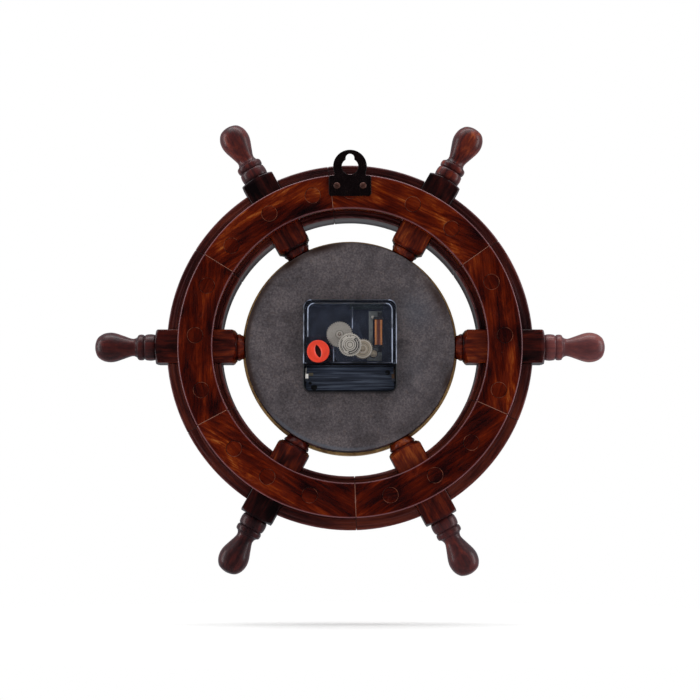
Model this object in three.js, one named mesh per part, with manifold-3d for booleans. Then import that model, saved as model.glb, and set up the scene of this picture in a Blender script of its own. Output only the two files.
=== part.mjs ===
// Ship wheel clock: a turned wooden ship's wheel that hangs on a nail, with a quartz clock in its hub
// Millimetres; X to the right and Z up as the dial is read, Y away from the reader, towards the wall
// The origin is the nail's seat: the top of the keyhole slot, on the wall side of the hanger plate

import * as THREE from "three";
import { mergeVertices } from "three/addons/utils/BufferGeometryUtils.js";
import Module from "manifold-3d";

const wasm = await Module();
wasm.setup();

// Clearances
const FIT_GAP = 0.3; // between fixed pieces that touch
const RUN_GAP = 0.3; // around pieces that turn
const CUT_MARGIN = 1; // how far a cutting tool runs past the face that it opens

// Round pieces: how far a facet may fall inside the true circle, and the fewest facets
const FACET_SAG = 0.04;
const FEWEST_FACETS = 10;

// Rim: a narrow ring of six felloes lies on the wall side of a wide ring of six
const RING_STEPS = 60; // facets round the rim
const RIM_OPENING = 12.7; // from the bezel to the wide ring
const INNER_LEDGE = 4; // of the wide ring inside the narrow one
const BACK_RING_WIDTH = 20.5;
const OUTER_LEDGE = 7.2; // of the wide ring outside the narrow one
const BACK_RING_THICKNESS = 10.7;
const FRONT_RING_THICKNESS = 23;
const RING_CHAMFER = 1;
const FELLOE_JOINT_ANGLES = [332, 32, 83, 144.5, 204, 268]; // degrees, as hand cut, each before its spoke

// Dowels that pin the two rings, two in each felloe
const DOWEL_ANGLES = [343, 22.5, 40, 76, 90, 131, 156, 197, 219, 255, 285, 318];
const DOWEL_R = 4.6;
const DOWEL_FACETS = 12;
const DOWEL_LENGTH = 24;
const DOWEL_SUNK = 0.1; // below the rim's back face

// Spokes: a square block let into the rim, with a turned grip outside and a tenon inside
const SPOKE_ANGLES = [0, 61, 119.7, 180, 242, 298.8]; // degrees, as hand set
const SPOKE_FACETS = 14;
const BLOCK_SIDE = 20;
const BLOCK_PROUD = 2; // of the wide ring's back face
const BLOCK_OVERHANG = 6.8; // past the wide ring's outer edge
const SHOULDER_LENGTH = 2.2; // of the turned cut that rounds the block's corners
const TENON_R = 3.5;
const TENON_DEPTH = 14.5; // in the hub
const INNER_BEAD_LENGTH = 2.7;
const INNER_BEAD_R = 8.2;
const BIG_BEAD_LENGTH = 7;
const BIG_BEAD_R = 7.95;
const SMALL_BEAD_LENGTH = 4;
const SMALL_BEAD_R = 7.75;
const BEAD_GROOVE_R = 6.9;
const NECK_R = 5.3;
const GRIP_R = 8.9;
const GRIP_LENGTH = 25.6; // from the small bead to the tip
// Share of the grip's length, and its swell there: 0 is the neck's radius, 1 the grip's
const GRIP_CURVE = [[0.02, 0.2], [0.14, 0], [0.33, 0.45], [0.63, 1], [0.84, 0.65], [0.965, -0.24]];
const GRIP_STEPS = 9;
const BEAD_STEPS = 3;

// Hub: a wooden disc with a thin board on its back
const HUB_R = 62.5;
const HUB_THICKNESS = 12.2;
const HUB_STEPS = 48;
const BACK_BOARD_INSET = 0.3; // of the board's edge from the hub's
const BACK_BOARD_THICKNESS = 1.5;
const HUB_RECESS = 12; // from the rim's back face to the board's
const SHAFT_HOLE_MARGIN = 0.6; // round the bushing

// Bezel, dial and glass
const BEZEL_WALL = 1.5;
const BEZEL_SKIRT = 3; // how far it laps the hub
const BEZEL_SHOULDER = 1.4; // how far it laps the hub's front face
const BEZEL_LIP = 4.1; // how far the lip covers the glass
const BEZEL_LIP_THICKNESS = 2;
const BEZEL_LIP_EDGE = 0.9; // bevel round the opening
const BEZEL_ROUND = 3.4; // radius of the lip's outer curve
const BEZEL_ROUND_STEPS = 4;
const DIAL_THICKNESS = 0.8;
const GLASS_THICKNESS = 2;
const GLASS_CLEARANCE = 2; // over the seconds hand

// Hands: lengths from the shaft to the tip; they rest at 35 seconds past ten past ten
const REST_HOURS = 10;
const REST_MINUTES = 10;
const REST_SECONDS = 35;
const HAND_THICKNESS = 0.6;
const HAND_HUB_WALL = 1.7;
const HAND_ROOT_WIDTH = 1.2;
const HAND_NECK_WIDTH = 1.8;
const HAND_NECK = 1; // from the hand's hub to its neck
const HAND_BELLY = 0.62; // share of the hand's length where it is widest
const HAND_SPACING = 1.6; // from one hand's front to the next
const HOUR_HAND_LENGTH = 29;
const HOUR_HAND_WIDTH = 5.4;
const MINUTE_HAND_LENGTH = 43;
const MINUTE_HAND_WIDTH = 4;
const SECONDS_HAND_LENGTH = 46;
const SECONDS_HAND_TAIL = 14;
const SECONDS_HAND_WIDTH = 1.8;
const SECONDS_TIP_WIDTH = 0.5;
const SECONDS_CAP_R = 2.2;
const SECONDS_CAP_FRONT = 0.5; // proud of the hand
const SECONDS_CAP_BACK = 0.3;
const SHAFT_PROUD = 0.4; // of the hand that it carries
const NUT_WALL = 1.5;
const NUT_THICKNESS = 2.2;

// Movement case, measured from its dial side
const CASE_CORNER_R = 4.8;
const CASE_WALL = 1.2;
const CASE_FLOOR = 1.2;
const BASE_DEPTH = 8;
const COVER_INSET = 2.6; // of the cover's raised part from the case's side
const COVER_WALL = 1;
const COVER_CORNER_R = 4;
const FLANGE_DEPTH = 1;
const BAY_LENGTH = 52.8; // inside, for an AA cell
const BAY_WIDTH = 14.6;
const BAY_CORNER_R = 2.4;
const DIVIDER_WALL = 1;
const BAY_DEPTH = 12.5; // from the dial side to the top of the bay's walls
const BUSHING_WALL = 1.15;
const BUSHING_PAST_NUT = 0.6;

// Shafts, one inside another
const SECONDS_ARBOR_R = 0.6;
const CANNON_WALL = 0.8;
const HOUR_TUBE_WALL = 0.55;
const ARBOR_R = 0.45;
const PIVOT_BOSS_R = 1.4;
const BOSS_LAP = 0.9; // of each arbor's end
const ARBOR_COVER = 1.5; // from each arbor's end to the cover's back
const POST_R = 1.3;
const PLATE_POSTS = [[-3, 12], [12.5, 8.5], [-8, -8]]; // of the middle plate, from the shaft

// Wheels: teeth of each pair, and the distance between the pair's shafts
const ROTOR_TEETH = 6;
const TRANSFER_TEETH = 30;
const TRANSFER_PINION_TEETH = 6;
const SECONDS_TEETH = 36;
const SECONDS_PINION_TEETH = 6;
const THIRD_TEETH = 36;
const THIRD_PINION_TEETH = 6;
const CENTRE_TEETH = 60;
const CANNON_TEETH = 10;
const MOTION_TEETH = 30;
const MOTION_PINION_TEETH = 8;
const HOUR_TEETH = 32;
const KNOB_TEETH = 12;
const ROTOR_DISTANCE = 7;
const TRANSFER_DISTANCE = 7.85;
const THIRD_DISTANCE = 8.85;
const MOTION_DISTANCE = 9.4;
const ROTOR_DIRECTION = 202; // degrees, as the next four
const TRANSFER_DIRECTION = 197;
const THIRD_DIRECTION = 46;
const MOTION_DIRECTION = -20;
const KNOB_DIRECTION = -5;
const WHEEL_THICKNESS = 0.8;
const PINION_THICKNESS = 1.2;
const TOOTH_ADDENDUM = 0.8; // in modules, as the next
const TOOTH_DEDENDUM = 1.2;

// Stack of the wheels and plates, from the case's floor
const FLOOR_CLEARANCE = 0.6;
const MOTION_SPACING = 1.4; // from one wheel to the next below the middle plate
const MIDDLE_PLATE_THICKNESS = 0.8;
const MIDDLE_PLATE_MARGIN = 1.5; // past the posts
const PLATE_CLEARANCE = 0.4;
const TRAIN_SPACING = 1.5; // from one wheel to the next above the middle plate
const TRAIN_CLEARANCE = 0.4; // from the last wheel to the cover's bosses

// Setting knob, in a recess of the cover's corner
const KNOB_R = 6.6;
const KNOB_THICKNESS = 2.5;
const KNOB_SHAFT_R = 1.2;
const KNOB_CLEARANCE = 0.6; // above the cell's bay
const KNOB_LAP = 0.5; // of the shaft's end in the knob
const KNOB_SLOT_LENGTH = 6.6;
const KNOB_SLOT_WIDTH = 1.6;
const KNOB_SLOT_DEPTH = 1.2;
const RECESS_MARGIN = 2; // round the knob
const RECESS_CORNER_R = 7;

// Rib on the back of the cover
const RIB_X = -1.4;
const RIB_BOTTOM = 9.3;
const RIB_LENGTH = 12.3;
const RIB_WIDTH = 0.8;
const RIB_HEIGHT = 0.4;

// Motor: rotor, stator plate, coil on its bobbin, and circuit board
const MAGNET_R = 2.1;
const MAGNET_LENGTH = 2;
const STATOR_BORE_R = 2.6;
const STATOR_THICKNESS = 0.8;
const STATOR_LEVEL = 5.6;
const STATOR_ARM_WIDTH = 2.4;
const STATOR_PAD = 3.5;
const STATOR_RIM = 1.5; // round the bore
const STATOR_MARGIN = 0.8; // past the coil's tabs
const ROTOR_POST_DROP = 1.2; // below the stator
const COIL_R = 2.3;
const COIL_LENGTH = 15.5;
const COIL_CORE_R = 1.2;
const COIL_BESIDE = 2.8; // of its axis from the rotor's
const COIL_ABOVE = 4.9; // of its winding over the rotor's axis
const FLANGE_SIDE = 6;
const FLANGE_THICKNESS = 1;
const TAB_WIDTH = 2.4;
const TAB_LENGTH = 3;
const BOARD_LENGTH = 20;
const BOARD_WIDTH = 3.4;
const BOARD_THICKNESS = 1;
const BOARD_LEVEL = 5;
const BOARD_LEAD = 1; // past the stator's edge
const BOARD_CLEARANCE = 1.2; // above the stator
const CONTACT_THICKNESS = 0.4;
const CONTACT_WIDTH = 4.6;
const CONTACT_FOLD = 1.7;
const STRIP_LEVEL = 3.5;
const STRIP_HEIGHT = 4;
const STRIP_LAP = 3; // over the end of the circuit board

// Hanger: a plate with a keyhole ring above it, and two screws
const HANGER_THICKNESS = 1.2;
const HANGER_INSET = 1.2; // of the plate's top from the rim's edge
const HANGER_RING_RISE = 5.4; // of the ring's centre over the plate's top
const HANGER_PLATE_WIDTH = 25;
const HANGER_PLATE_HEIGHT = 12.2;
const HANGER_SHOULDER = 3; // from the plate's side to its neck
const HANGER_NECK_WIDTH = 15;
const HANGER_CORNER_R = 1.5;
const KEYHOLE_R = 4.9;
const SLOT_WIDTH = 5.1;
const SLOT_RISE = 7.7; // from the ring's centre to the slot's top
const SLOT_RIM = 2.3; // over the slot's top
const SCREW_SPACING = 15.5;
const SCREW_HEAD_R = 1.95;
const SCREW_HEAD_TOP_R = 1.55;
const SCREW_HEAD_HEIGHT = 0.7;
const SCREW_SLOT_WIDTH = 0.5;
const SCREW_SHANK_R = 1.1;
const SCREW_LENGTH = 8;

// Places along Y from the rim's back face, worked out from the sizes above
const frontRingBack = -(BACK_RING_THICKNESS + FIT_GAP);
const frontRingFront = frontRingBack - FRONT_RING_THICKNESS;
const spokeY = frontRingBack + BLOCK_PROUD - BLOCK_SIDE / 2;
const boardBack = -HUB_RECESS;
const hubBack = boardBack - BACK_BOARD_THICKNESS - FIT_GAP;
const hubFront = hubBack - HUB_THICKNESS;
const dialBack = hubFront - FIT_GAP;
const dialFront = dialBack - DIAL_THICKNESS;
const nutBack = dialFront - FIT_GAP;
const nutFront = nutBack - NUT_THICKNESS;
const bushingFront = nutFront - BUSHING_PAST_NUT;
const hourHandFront = bushingFront - RUN_GAP - HAND_THICKNESS;
const minuteHandFront = hourHandFront - HAND_SPACING;
const secondsHandFront = minuteHandFront - HAND_SPACING;
const glassBack = secondsHandFront - SECONDS_CAP_FRONT - GLASS_CLEARANCE;
const glassFront = glassBack - GLASS_THICKNESS;
const bezelFront = glassFront - FIT_GAP - BEZEL_LIP_THICKNESS;
const caseFront = boardBack + FIT_GAP;
const hangerFront = FIT_GAP;
const hangerBack = hangerFront + HANGER_THICKNESS;

// Radii and heights worked out in the same way
const cannonBoreR = SECONDS_ARBOR_R + RUN_GAP;
const cannonR = cannonBoreR + CANNON_WALL;
const hourBoreR = cannonR + RUN_GAP;
const hourTubeR = hourBoreR + HOUR_TUBE_WALL;
const bushingBoreR = hourTubeR + RUN_GAP;
const bushingR = bushingBoreR + BUSHING_WALL;
const shaftHoleR = bushingR + SHAFT_HOLE_MARGIN;
const bezelInnerR = HUB_R + FIT_GAP;
const bezelOuterR = bezelInnerR + BEZEL_WALL;
const bezelBoreR = HUB_R - BEZEL_SHOULDER;
const dialR = bezelBoreR - FIT_GAP;
const frontRingInnerR = bezelOuterR + RIM_OPENING;
const backRingInnerR = frontRingInnerR + INNER_LEDGE;
const backRingOuterR = backRingInnerR + BACK_RING_WIDTH;
const frontRingOuterR = backRingOuterR + OUTER_LEDGE;
const blockInnerEnd = bezelOuterR + FIT_GAP + INNER_BEAD_LENGTH;
const blockOuterEnd = frontRingOuterR + BLOCK_OVERHANG;
const hangerTop = backRingOuterR - HANGER_INSET;
const hangerBottom = hangerTop - HANGER_PLATE_HEIGHT;
const hangerRingHeight = hangerTop + HANGER_RING_RISE;
const nailHeight = hangerRingHeight + SLOT_RISE;
const screwHeight = hangerBottom + HANGER_PLATE_HEIGHT / 2;
const screwPlaces = [[-SCREW_SPACING / 2, screwHeight], [SCREW_SPACING / 2, screwHeight]];
const screwTip = hangerBack + FIT_GAP - SCREW_LENGTH;

// Levels from the case's dial side
const hourLevel = CASE_FLOOR + FLOOR_CLEARANCE;
const motionLevel = hourLevel + MOTION_SPACING;
const centreLevel = motionLevel + MOTION_SPACING;
const middlePlateLevel = centreLevel + MOTION_SPACING;
const thirdLevel = middlePlateLevel + MIDDLE_PLATE_THICKNESS + PLATE_CLEARANCE;
const transferLevel = thirdLevel + TRAIN_SPACING;
const secondsLevel = transferLevel + TRAIN_SPACING;
const arborEnd = secondsLevel + WHEEL_THICKNESS + TRAIN_CLEARANCE + BOSS_LAP;
const caseDepth = arborEnd + ARBOR_COVER;
const coverBack = caseFront + caseDepth;

// Directions and points in the wheel's plane; angles run from +X towards +Z
const degrees = THREE.MathUtils.degToRad;
const polar = (radius, angle) => [radius * Math.cos(degrees(angle)), radius * Math.sin(degrees(angle))];
const offset = ([x, z], distance, angle) => {
  const [dx, dz] = polar(distance, angle);
  return [x + dx, z + dz];
};
const level = (height) => caseFront + height;

// Flat piece parallel to the dial, from an outline in X and Z; its wall side lies at back
function plate(outline, thickness, back, holes = []) {
  const shape = new THREE.Shape(outline.map(([x, z]) => new THREE.Vector2(x, z)));
  for (const hole of holes) shape.holes.push(new THREE.Path(hole.map(([x, z]) => new THREE.Vector2(x, z))));
  const geometry = new THREE.ExtrudeGeometry(shape, { depth: thickness, bevelEnabled: false });
  return geometry.rotateX(Math.PI / 2).translate(0, back, 0);
}

function facetsOf(radius) {
  return Math.max(FEWEST_FACETS, Math.ceil(Math.PI / Math.sqrt((2 * FACET_SAG) / radius)));
}

// Piece turned about the Y axis, from pairs of radius and Y
function turned(profile, facets) {
  return new THREE.LatheGeometry(profile.map(([r, y]) => new THREE.Vector2(r, y)), facets);
}

function rod(radius, front, back, [x, z] = [0, 0], facets = facetsOf(radius)) {
  return turned([[0, front], [radius, front], [radius, back], [0, back]], facets).translate(x, 0, z);
}

function tube(bore, radius, front, back, facets = facetsOf(radius)) {
  return turned([[bore, front], [radius, front], [radius, back], [bore, back], [bore, front]], facets);
}

// Box between two corners
function block([x0, y0, z0], [x1, y1, z1]) {
  const geometry = new THREE.BoxGeometry(x1 - x0, y1 - y0, z1 - z0);
  return geometry.translate((x0 + x1) / 2, (y0 + y1) / 2, (z0 + z1) / 2);
}

// Points of a circle, and of a rectangle with round corners
function circle(radius, place = [0, 0], count = facetsOf(radius)) {
  return Array.from({ length: count }, (_, i) => offset(place, radius, (360 * i) / count));
}

// The same circle run the other way, as a hole's outline
function roundHole(radius, place) {
  return circle(radius, place).reverse();
}

function roundedRectangle(left, bottom, right, top, radius, steps = 4) {
  const radii = Array.isArray(radius) ? radius : [radius, radius, radius, radius];
  const corners = [[right, top, -1, -1], [left, top, 1, -1], [left, bottom, 1, 1], [right, bottom, -1, 1]];
  return corners.flatMap(([x, z, inX, inZ], index) => {
    const r = radii[index];
    if (r === 0) return [[x, z]];
    const middle = [x + inX * r, z + inZ * r];
    return Array.from({ length: steps + 1 }, (_, i) => offset(middle, r, 90 * (index + i / steps)));
  });
}

// Closed solid for joining and cutting, and its surface afterwards
function solid(geometry) {
  const bare = geometry.clone();
  bare.deleteAttribute("normal");
  bare.deleteAttribute("uv");
  const merged = mergeVertices(bare);
  const corners = merged.index.array;
  const triangles = [];
  for (let i = 0; i < corners.length; i += 3) {
    const [a, b, c] = corners.slice(i, i + 3);
    if (a !== b && b !== c && c !== a) triangles.push(a, b, c);
  }
  return new wasm.Manifold(new wasm.Mesh({
    numProp: 3,
    vertProperties: Float32Array.from(merged.attributes.position.array),
    triVerts: Uint32Array.from(triangles),
  }));
}

function surface(manifold) {
  const { vertProperties, triVerts } = manifold.getMesh();
  const geometry = new THREE.BufferGeometry();
  geometry.setAttribute("position", new THREE.BufferAttribute(Float32Array.from(vertProperties), 3));
  geometry.setIndex(Array.from(triVerts));
  return geometry;
}

const join = (first, ...others) => others.reduce((whole, next) => whole.add(solid(next)), solid(first));
const cut = (whole, ...tools) => tools.reduce((rest, tool) => rest.subtract(solid(tool)), whole);

// Finishes
const finish = (color, roughness, metalness = 0) => () =>
  new THREE.MeshStandardMaterial({ color, roughness, metalness });
const darkWood = finish(0x3a120a, 0.3);
const redWood = finish(0x5c1f0e, 0.28);
const brownWood = finish(0x4a1a0c, 0.3);
const endGrain = finish(0x2c0d08, 0.4);
const boardGrey = finish(0x47424a, 0.85);
const brass = finish(0xb08a3e, 0.25, 1);
const clearGlass = finish(0xdfe8ea, 0.03);
const dialWhite = finish(0xf1ead8, 0.6);
const handBlack = finish(0x101012, 0.35, 0.4);
const handRed = finish(0xa51c14, 0.4);
const caseBlack = finish(0x14171f, 0.3);
const knobRed = finish(0xe8452a, 0.45);
const wheelGrey = finish(0xa39c90, 0.6);
const steel = finish(0x9a9da3, 0.3, 1);
const blackSteel = finish(0x17130f, 0.3, 0.6);
const bronze = finish(0x6d4a2a, 0.35, 1);
const copper = finish(0xc4703a, 0.35, 1);
const bobbinGrey = finish(0x6d6f70, 0.6);
const boardGreen = finish(0x2f4a35, 0.6);

const wheel = new THREE.Group();
wheel.position.set(0, -hangerBack, -nailHeight);

function put(name, shape, material) {
  const geometry = shape.isBufferGeometry ? shape : surface(shape);
  const mesh = new THREE.Mesh(geometry, material());
  mesh.name = name;
  wheel.add(mesh);
  return mesh;
}

// Rim
function ringProfile(inner, outer, front, back) {
  const c = RING_CHAMFER;
  return [[inner + c, front], [outer - c, front], [outer, front + c], [outer, back - c],
    [outer - c, back], [inner + c, back], [inner, back - c], [inner, front + c], [inner + c, front]];
}

// Sector between two joints, with half a gap at each
function sector(inner, outer, from, to, front, back) {
  const turn = (to - from + 360) % 360;
  const half = FIT_GAP / 2;
  const near = inner - CUT_MARGIN;
  const far = (outer + CUT_MARGIN) / Math.cos(degrees(turn / 6));
  const outline = [
    offset(polar(near, from), half, from + 90),
    offset(polar(far, from), half, from + 90),
    polar(far, from + turn / 3),
    polar(far, from + (2 * turn) / 3),
    offset(polar(far, to), half, to - 90),
    offset(polar(near, to), half, to - 90),
  ];
  return plate(outline, back - front, back);
}

function spokeNotch(angle, front, back) {
  const half = BLOCK_SIDE / 2 + FIT_GAP;
  const reach = frontRingOuterR + BLOCK_SIDE;
  return block([0, front, -half], [reach, back, half]).rotateY(-degrees(angle));
}

function makeRim() {
  const count = SPOKE_ANGLES.length;
  const backRing = solid(turned(
    ringProfile(backRingInnerR, backRingOuterR, -BACK_RING_THICKNESS, 0), RING_STEPS));
  const frontRing = solid(turned(
    ringProfile(frontRingInnerR, frontRingOuterR, frontRingFront, frontRingBack), RING_STEPS));
  const dowelCircle = (backRingInnerR + backRingOuterR) / 2;
  const holeR = DOWEL_R + FIT_GAP;
  const holeFront = -DOWEL_SUNK - DOWEL_LENGTH - FIT_GAP;
  const holes = DOWEL_ANGLES.map((angle) =>
    rod(holeR, holeFront, CUT_MARGIN, polar(dowelCircle, angle), DOWEL_FACETS));
  const screwHoles = screwPlaces.map((place) =>
    rod(SCREW_SHANK_R + FIT_GAP, screwTip - FIT_GAP, CUT_MARGIN, place));
  const woods = [redWood, brownWood, redWood, darkWood, redWood, brownWood];
  for (let i = 0; i < count; i++) {
    const from = FELLOE_JOINT_ANGLES[i];
    const to = FELLOE_JOINT_ANGLES[(i + 1) % count];
    const wedge = solid(sector(frontRingInnerR, frontRingOuterR, from, to,
      frontRingFront - CUT_MARGIN, CUT_MARGIN));
    const spoke = SPOKE_ANGLES[i];
    const under = spokeNotch(spoke, -BACK_RING_THICKNESS - CUT_MARGIN, spokeY + BLOCK_SIDE / 2 + FIT_GAP);
    const over = spokeNotch(spoke, spokeY - BLOCK_SIDE / 2 - FIT_GAP, frontRingBack + CUT_MARGIN);
    const pair = holes.slice(2 * i, 2 * i + 2);
    put(`rim_back_felloe_${i + 1}`, cut(backRing.intersect(wedge), under, ...pair, ...screwHoles), woods[i]);
    put(`rim_front_felloe_${i + 1}`, cut(frontRing.intersect(wedge), over, ...pair), woods[i]);
  }
  DOWEL_ANGLES.forEach((angle, i) => {
    const place = polar(dowelCircle, angle);
    const front = -DOWEL_SUNK - DOWEL_LENGTH;
    put(`rim_dowel_${i + 1}`, rod(DOWEL_R, front, -DOWEL_SUNK, place, DOWEL_FACETS), endGrain);
  });
}

// Spokes, turned along their length, which starts at the wheel's centre
function bead(start, length, radius, edge) {
  const points = [];
  for (let i = 0; i <= BEAD_STEPS; i++) {
    const t = -1 + (2 * i) / BEAD_STEPS;
    points.push([edge + (radius - edge) * Math.sqrt(1 - t * t), start + (length * (1 + t)) / 2]);
  }
  return points;
}

function gripProfile(start) {
  const curve = new THREE.SplineCurve(GRIP_CURVE.map(([share, swell]) =>
    new THREE.Vector2(NECK_R + (GRIP_R - NECK_R) * swell, start + GRIP_LENGTH * share)));
  const points = curve.getPoints(GRIP_STEPS).map(({ x, y }) => [x, y]);
  return [...points, [0, start + GRIP_LENGTH]];
}

function makeSpokes() {
  const beadStart = blockInnerEnd - INNER_BEAD_LENGTH;
  const smallStart = blockOuterEnd + BIG_BEAD_LENGTH;
  const gripStart = smallStart + SMALL_BEAD_LENGTH;
  const tenonEnd = HUB_R - TENON_DEPTH;
  const turnedParts = turned([
    [0, tenonEnd], [TENON_R, tenonEnd], [TENON_R, beadStart],
    ...bead(beadStart, INNER_BEAD_LENGTH, INNER_BEAD_R, BEAD_GROOVE_R),
    [BEAD_GROOVE_R, blockOuterEnd],
    ...bead(blockOuterEnd, BIG_BEAD_LENGTH, BIG_BEAD_R, BEAD_GROOVE_R).slice(1),
    ...bead(smallStart, SMALL_BEAD_LENGTH, SMALL_BEAD_R, BEAD_GROOVE_R).slice(1),
    ...gripProfile(gripStart),
  ], SPOKE_FACETS);
  const half = BLOCK_SIDE / 2;
  const corner = (half * Math.SQRT2) / Math.cos(Math.PI / SPOKE_FACETS);
  const shoulders = turned([
    [0, blockInnerEnd], [half, blockInnerEnd], [corner, blockInnerEnd + SHOULDER_LENGTH],
    [corner, blockOuterEnd - SHOULDER_LENGTH], [half, blockOuterEnd], [0, blockOuterEnd],
  ], SPOKE_FACETS);
  const square = solid(block([-half, blockInnerEnd, -half], [half, blockOuterEnd, half]));
  const whole = solid(turnedParts).add(square.intersect(solid(shoulders)));
  const geometry = surface(whole).rotateZ(-Math.PI / 2);
  SPOKE_ANGLES.forEach((angle, i) => {
    const mesh = put(`spoke_${i + 1}`, geometry.clone(), i % 2 ? redWood : darkWood);
    mesh.position.y = spokeY;
    mesh.rotation.y = -degrees(angle);
  });
}

// Hub, bezel, dial and glass
function makeHub() {
  const socketR = TENON_R + FIT_GAP;
  const socket = rod(socketR, HUB_R - TENON_DEPTH - FIT_GAP, HUB_R + CUT_MARGIN).rotateZ(-Math.PI / 2);
  const sockets = SPOKE_ANGLES.map((angle) =>
    socket.clone().rotateY(-degrees(angle)).translate(0, spokeY, 0));
  const body = solid(tube(shaftHoleR, HUB_R, hubFront, hubBack, HUB_STEPS));
  put("hub_body", cut(body, ...sockets), brownWood);
  const boardFront = boardBack - BACK_BOARD_THICKNESS;
  const boardR = HUB_R - BACK_BOARD_INSET;
  put("back_board", tube(shaftHoleR, boardR, boardFront, boardBack, HUB_STEPS), boardGrey);

  const skirtBack = hubFront + BEZEL_SKIRT;
  const shoulder = hubFront - FIT_GAP;
  const seat = bezelFront + BEZEL_LIP_THICKNESS;
  const lipR = bezelBoreR - BEZEL_LIP;
  const profile = [[lipR, seat], [lipR, bezelFront + BEZEL_LIP_EDGE], [lipR + BEZEL_LIP_EDGE, bezelFront]];
  for (let i = 0; i <= BEZEL_ROUND_STEPS; i++) {
    const angle = degrees(-90 + (90 * i) / BEZEL_ROUND_STEPS);
    profile.push([bezelOuterR - BEZEL_ROUND + BEZEL_ROUND * Math.cos(angle),
      bezelFront + BEZEL_ROUND + BEZEL_ROUND * Math.sin(angle)]);
  }
  profile.push([bezelOuterR, skirtBack], [bezelInnerR, skirtBack], [bezelInnerR, shoulder],
    [bezelBoreR, shoulder], [bezelBoreR, seat], [lipR, seat]);
  put("brass_bezel", turned(profile, HUB_STEPS), brass);
  put("dial", tube(shaftHoleR, dialR, dialFront, dialBack, HUB_STEPS), dialWhite);
  put("glass", rod(dialR, glassFront, glassBack, [0, 0], HUB_STEPS), clearGlass);
}

// Hands point to twelve before they are turned to the rest time
function makeHands() {
  const secondsTurn = REST_SECONDS * 6;
  const minuteTurn = (REST_MINUTES + REST_SECONDS / 60) * 6;
  const hourTurn = (REST_HOURS + minuteTurn / 360) * 30;

  const blade = (length, width, hubR) => {
    const side = [[HAND_ROOT_WIDTH / 2, 0], [HAND_NECK_WIDTH / 2, hubR + HAND_NECK],
      [width / 2, length * HAND_BELLY]];
    const otherSide = side.map(([x, z]) => [-x, z]);
    return [...otherSide, [0, length], ...side.reverse()];
  };
  const hand = (name, length, width, shaftR, front, turn) => {
    const hubR = shaftR + HAND_HUB_WALL;
    const back = front + HAND_THICKNESS;
    const whole = join(plate(blade(length, width, hubR), HAND_THICKNESS, back), rod(hubR, front, back));
    const bored = cut(whole, rod(shaftR + FIT_GAP, front - CUT_MARGIN, back + CUT_MARGIN));
    put(name, bored, handBlack).rotation.y = degrees(turn);
  };
  hand("hour_hand", HOUR_HAND_LENGTH, HOUR_HAND_WIDTH, hourTubeR, hourHandFront, hourTurn);
  hand("minute_hand", MINUTE_HAND_LENGTH, MINUTE_HAND_WIDTH, cannonR, minuteHandFront, minuteTurn);

  const back = secondsHandFront + HAND_THICKNESS;
  const tailHalf = SECONDS_HAND_WIDTH / 2;
  const tipHalf = SECONDS_TIP_WIDTH / 2;
  const needle = plate([[-tailHalf, -SECONDS_HAND_TAIL], [tailHalf, -SECONDS_HAND_TAIL],
    [tipHalf, SECONDS_HAND_LENGTH], [-tipHalf, SECONDS_HAND_LENGTH]], HAND_THICKNESS, back);
  const cap = rod(SECONDS_CAP_R, secondsHandFront - SECONDS_CAP_FRONT, back + SECONDS_CAP_BACK);
  const bore = rod(SECONDS_ARBOR_R + FIT_GAP, secondsHandFront, back + CUT_MARGIN);
  put("seconds_hand", cut(join(needle, cap), bore), handRed).rotation.y = degrees(secondsTurn);

  const hexagonR = (bushingR + NUT_WALL) / Math.cos(degrees(30));
  const hexagon = circle(hexagonR, [0, 0], 6);
  put("shaft_nut", plate(hexagon, NUT_THICKNESS, nutBack, [roundHole(bushingR + FIT_GAP)]), brass);
}

// Toothed outline with pointed teeth; phase is the angle of one tooth
function toothed(teeth, pitchR, phase) {
  const module = (2 * pitchR) / teeth;
  const [tipR, rootR] = [pitchR + TOOTH_ADDENDUM * module, pitchR - TOOTH_DEDENDUM * module];
  const half = 180 / teeth;
  const points = [];
  for (let i = 0; i < teeth; i++) {
    const angle = phase + 2 * half * i;
    points.push(polar(tipR, angle), polar(rootR, angle + half));
  }
  return points;
}

// Pitch radii of a pair, and the second wheel's phase where the pair meets
const pitch = (teeth, mate, distance) => (distance * teeth) / (teeth + mate);
const matePhase = (teeth, phase, mate, direction) =>
  direction + 180 + (180 - teeth * (phase - direction)) / mate;

function gear(teeth, pitchR, phase, front, thickness, [x, z] = [0, 0]) {
  return plate(toothed(teeth, pitchR, phase), thickness, front + thickness).translate(x, 0, z);
}

// Shafts of the wheels, from the centre of the dial
const transferPlace = polar(TRANSFER_DISTANCE, TRANSFER_DIRECTION);
const rotorPlace = offset(transferPlace, ROTOR_DISTANCE, ROTOR_DIRECTION);
const thirdPlace = polar(THIRD_DISTANCE, THIRD_DIRECTION);
const motionPlace = polar(MOTION_DISTANCE, MOTION_DIRECTION);
const motionModule = (2 * MOTION_DISTANCE) / (CANNON_TEETH + MOTION_TEETH);
const knobDistance = (motionModule * (MOTION_TEETH + KNOB_TEETH)) / 2;
const knobPlace = offset(motionPlace, knobDistance, KNOB_DIRECTION);
const centre = [0, 0];

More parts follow.
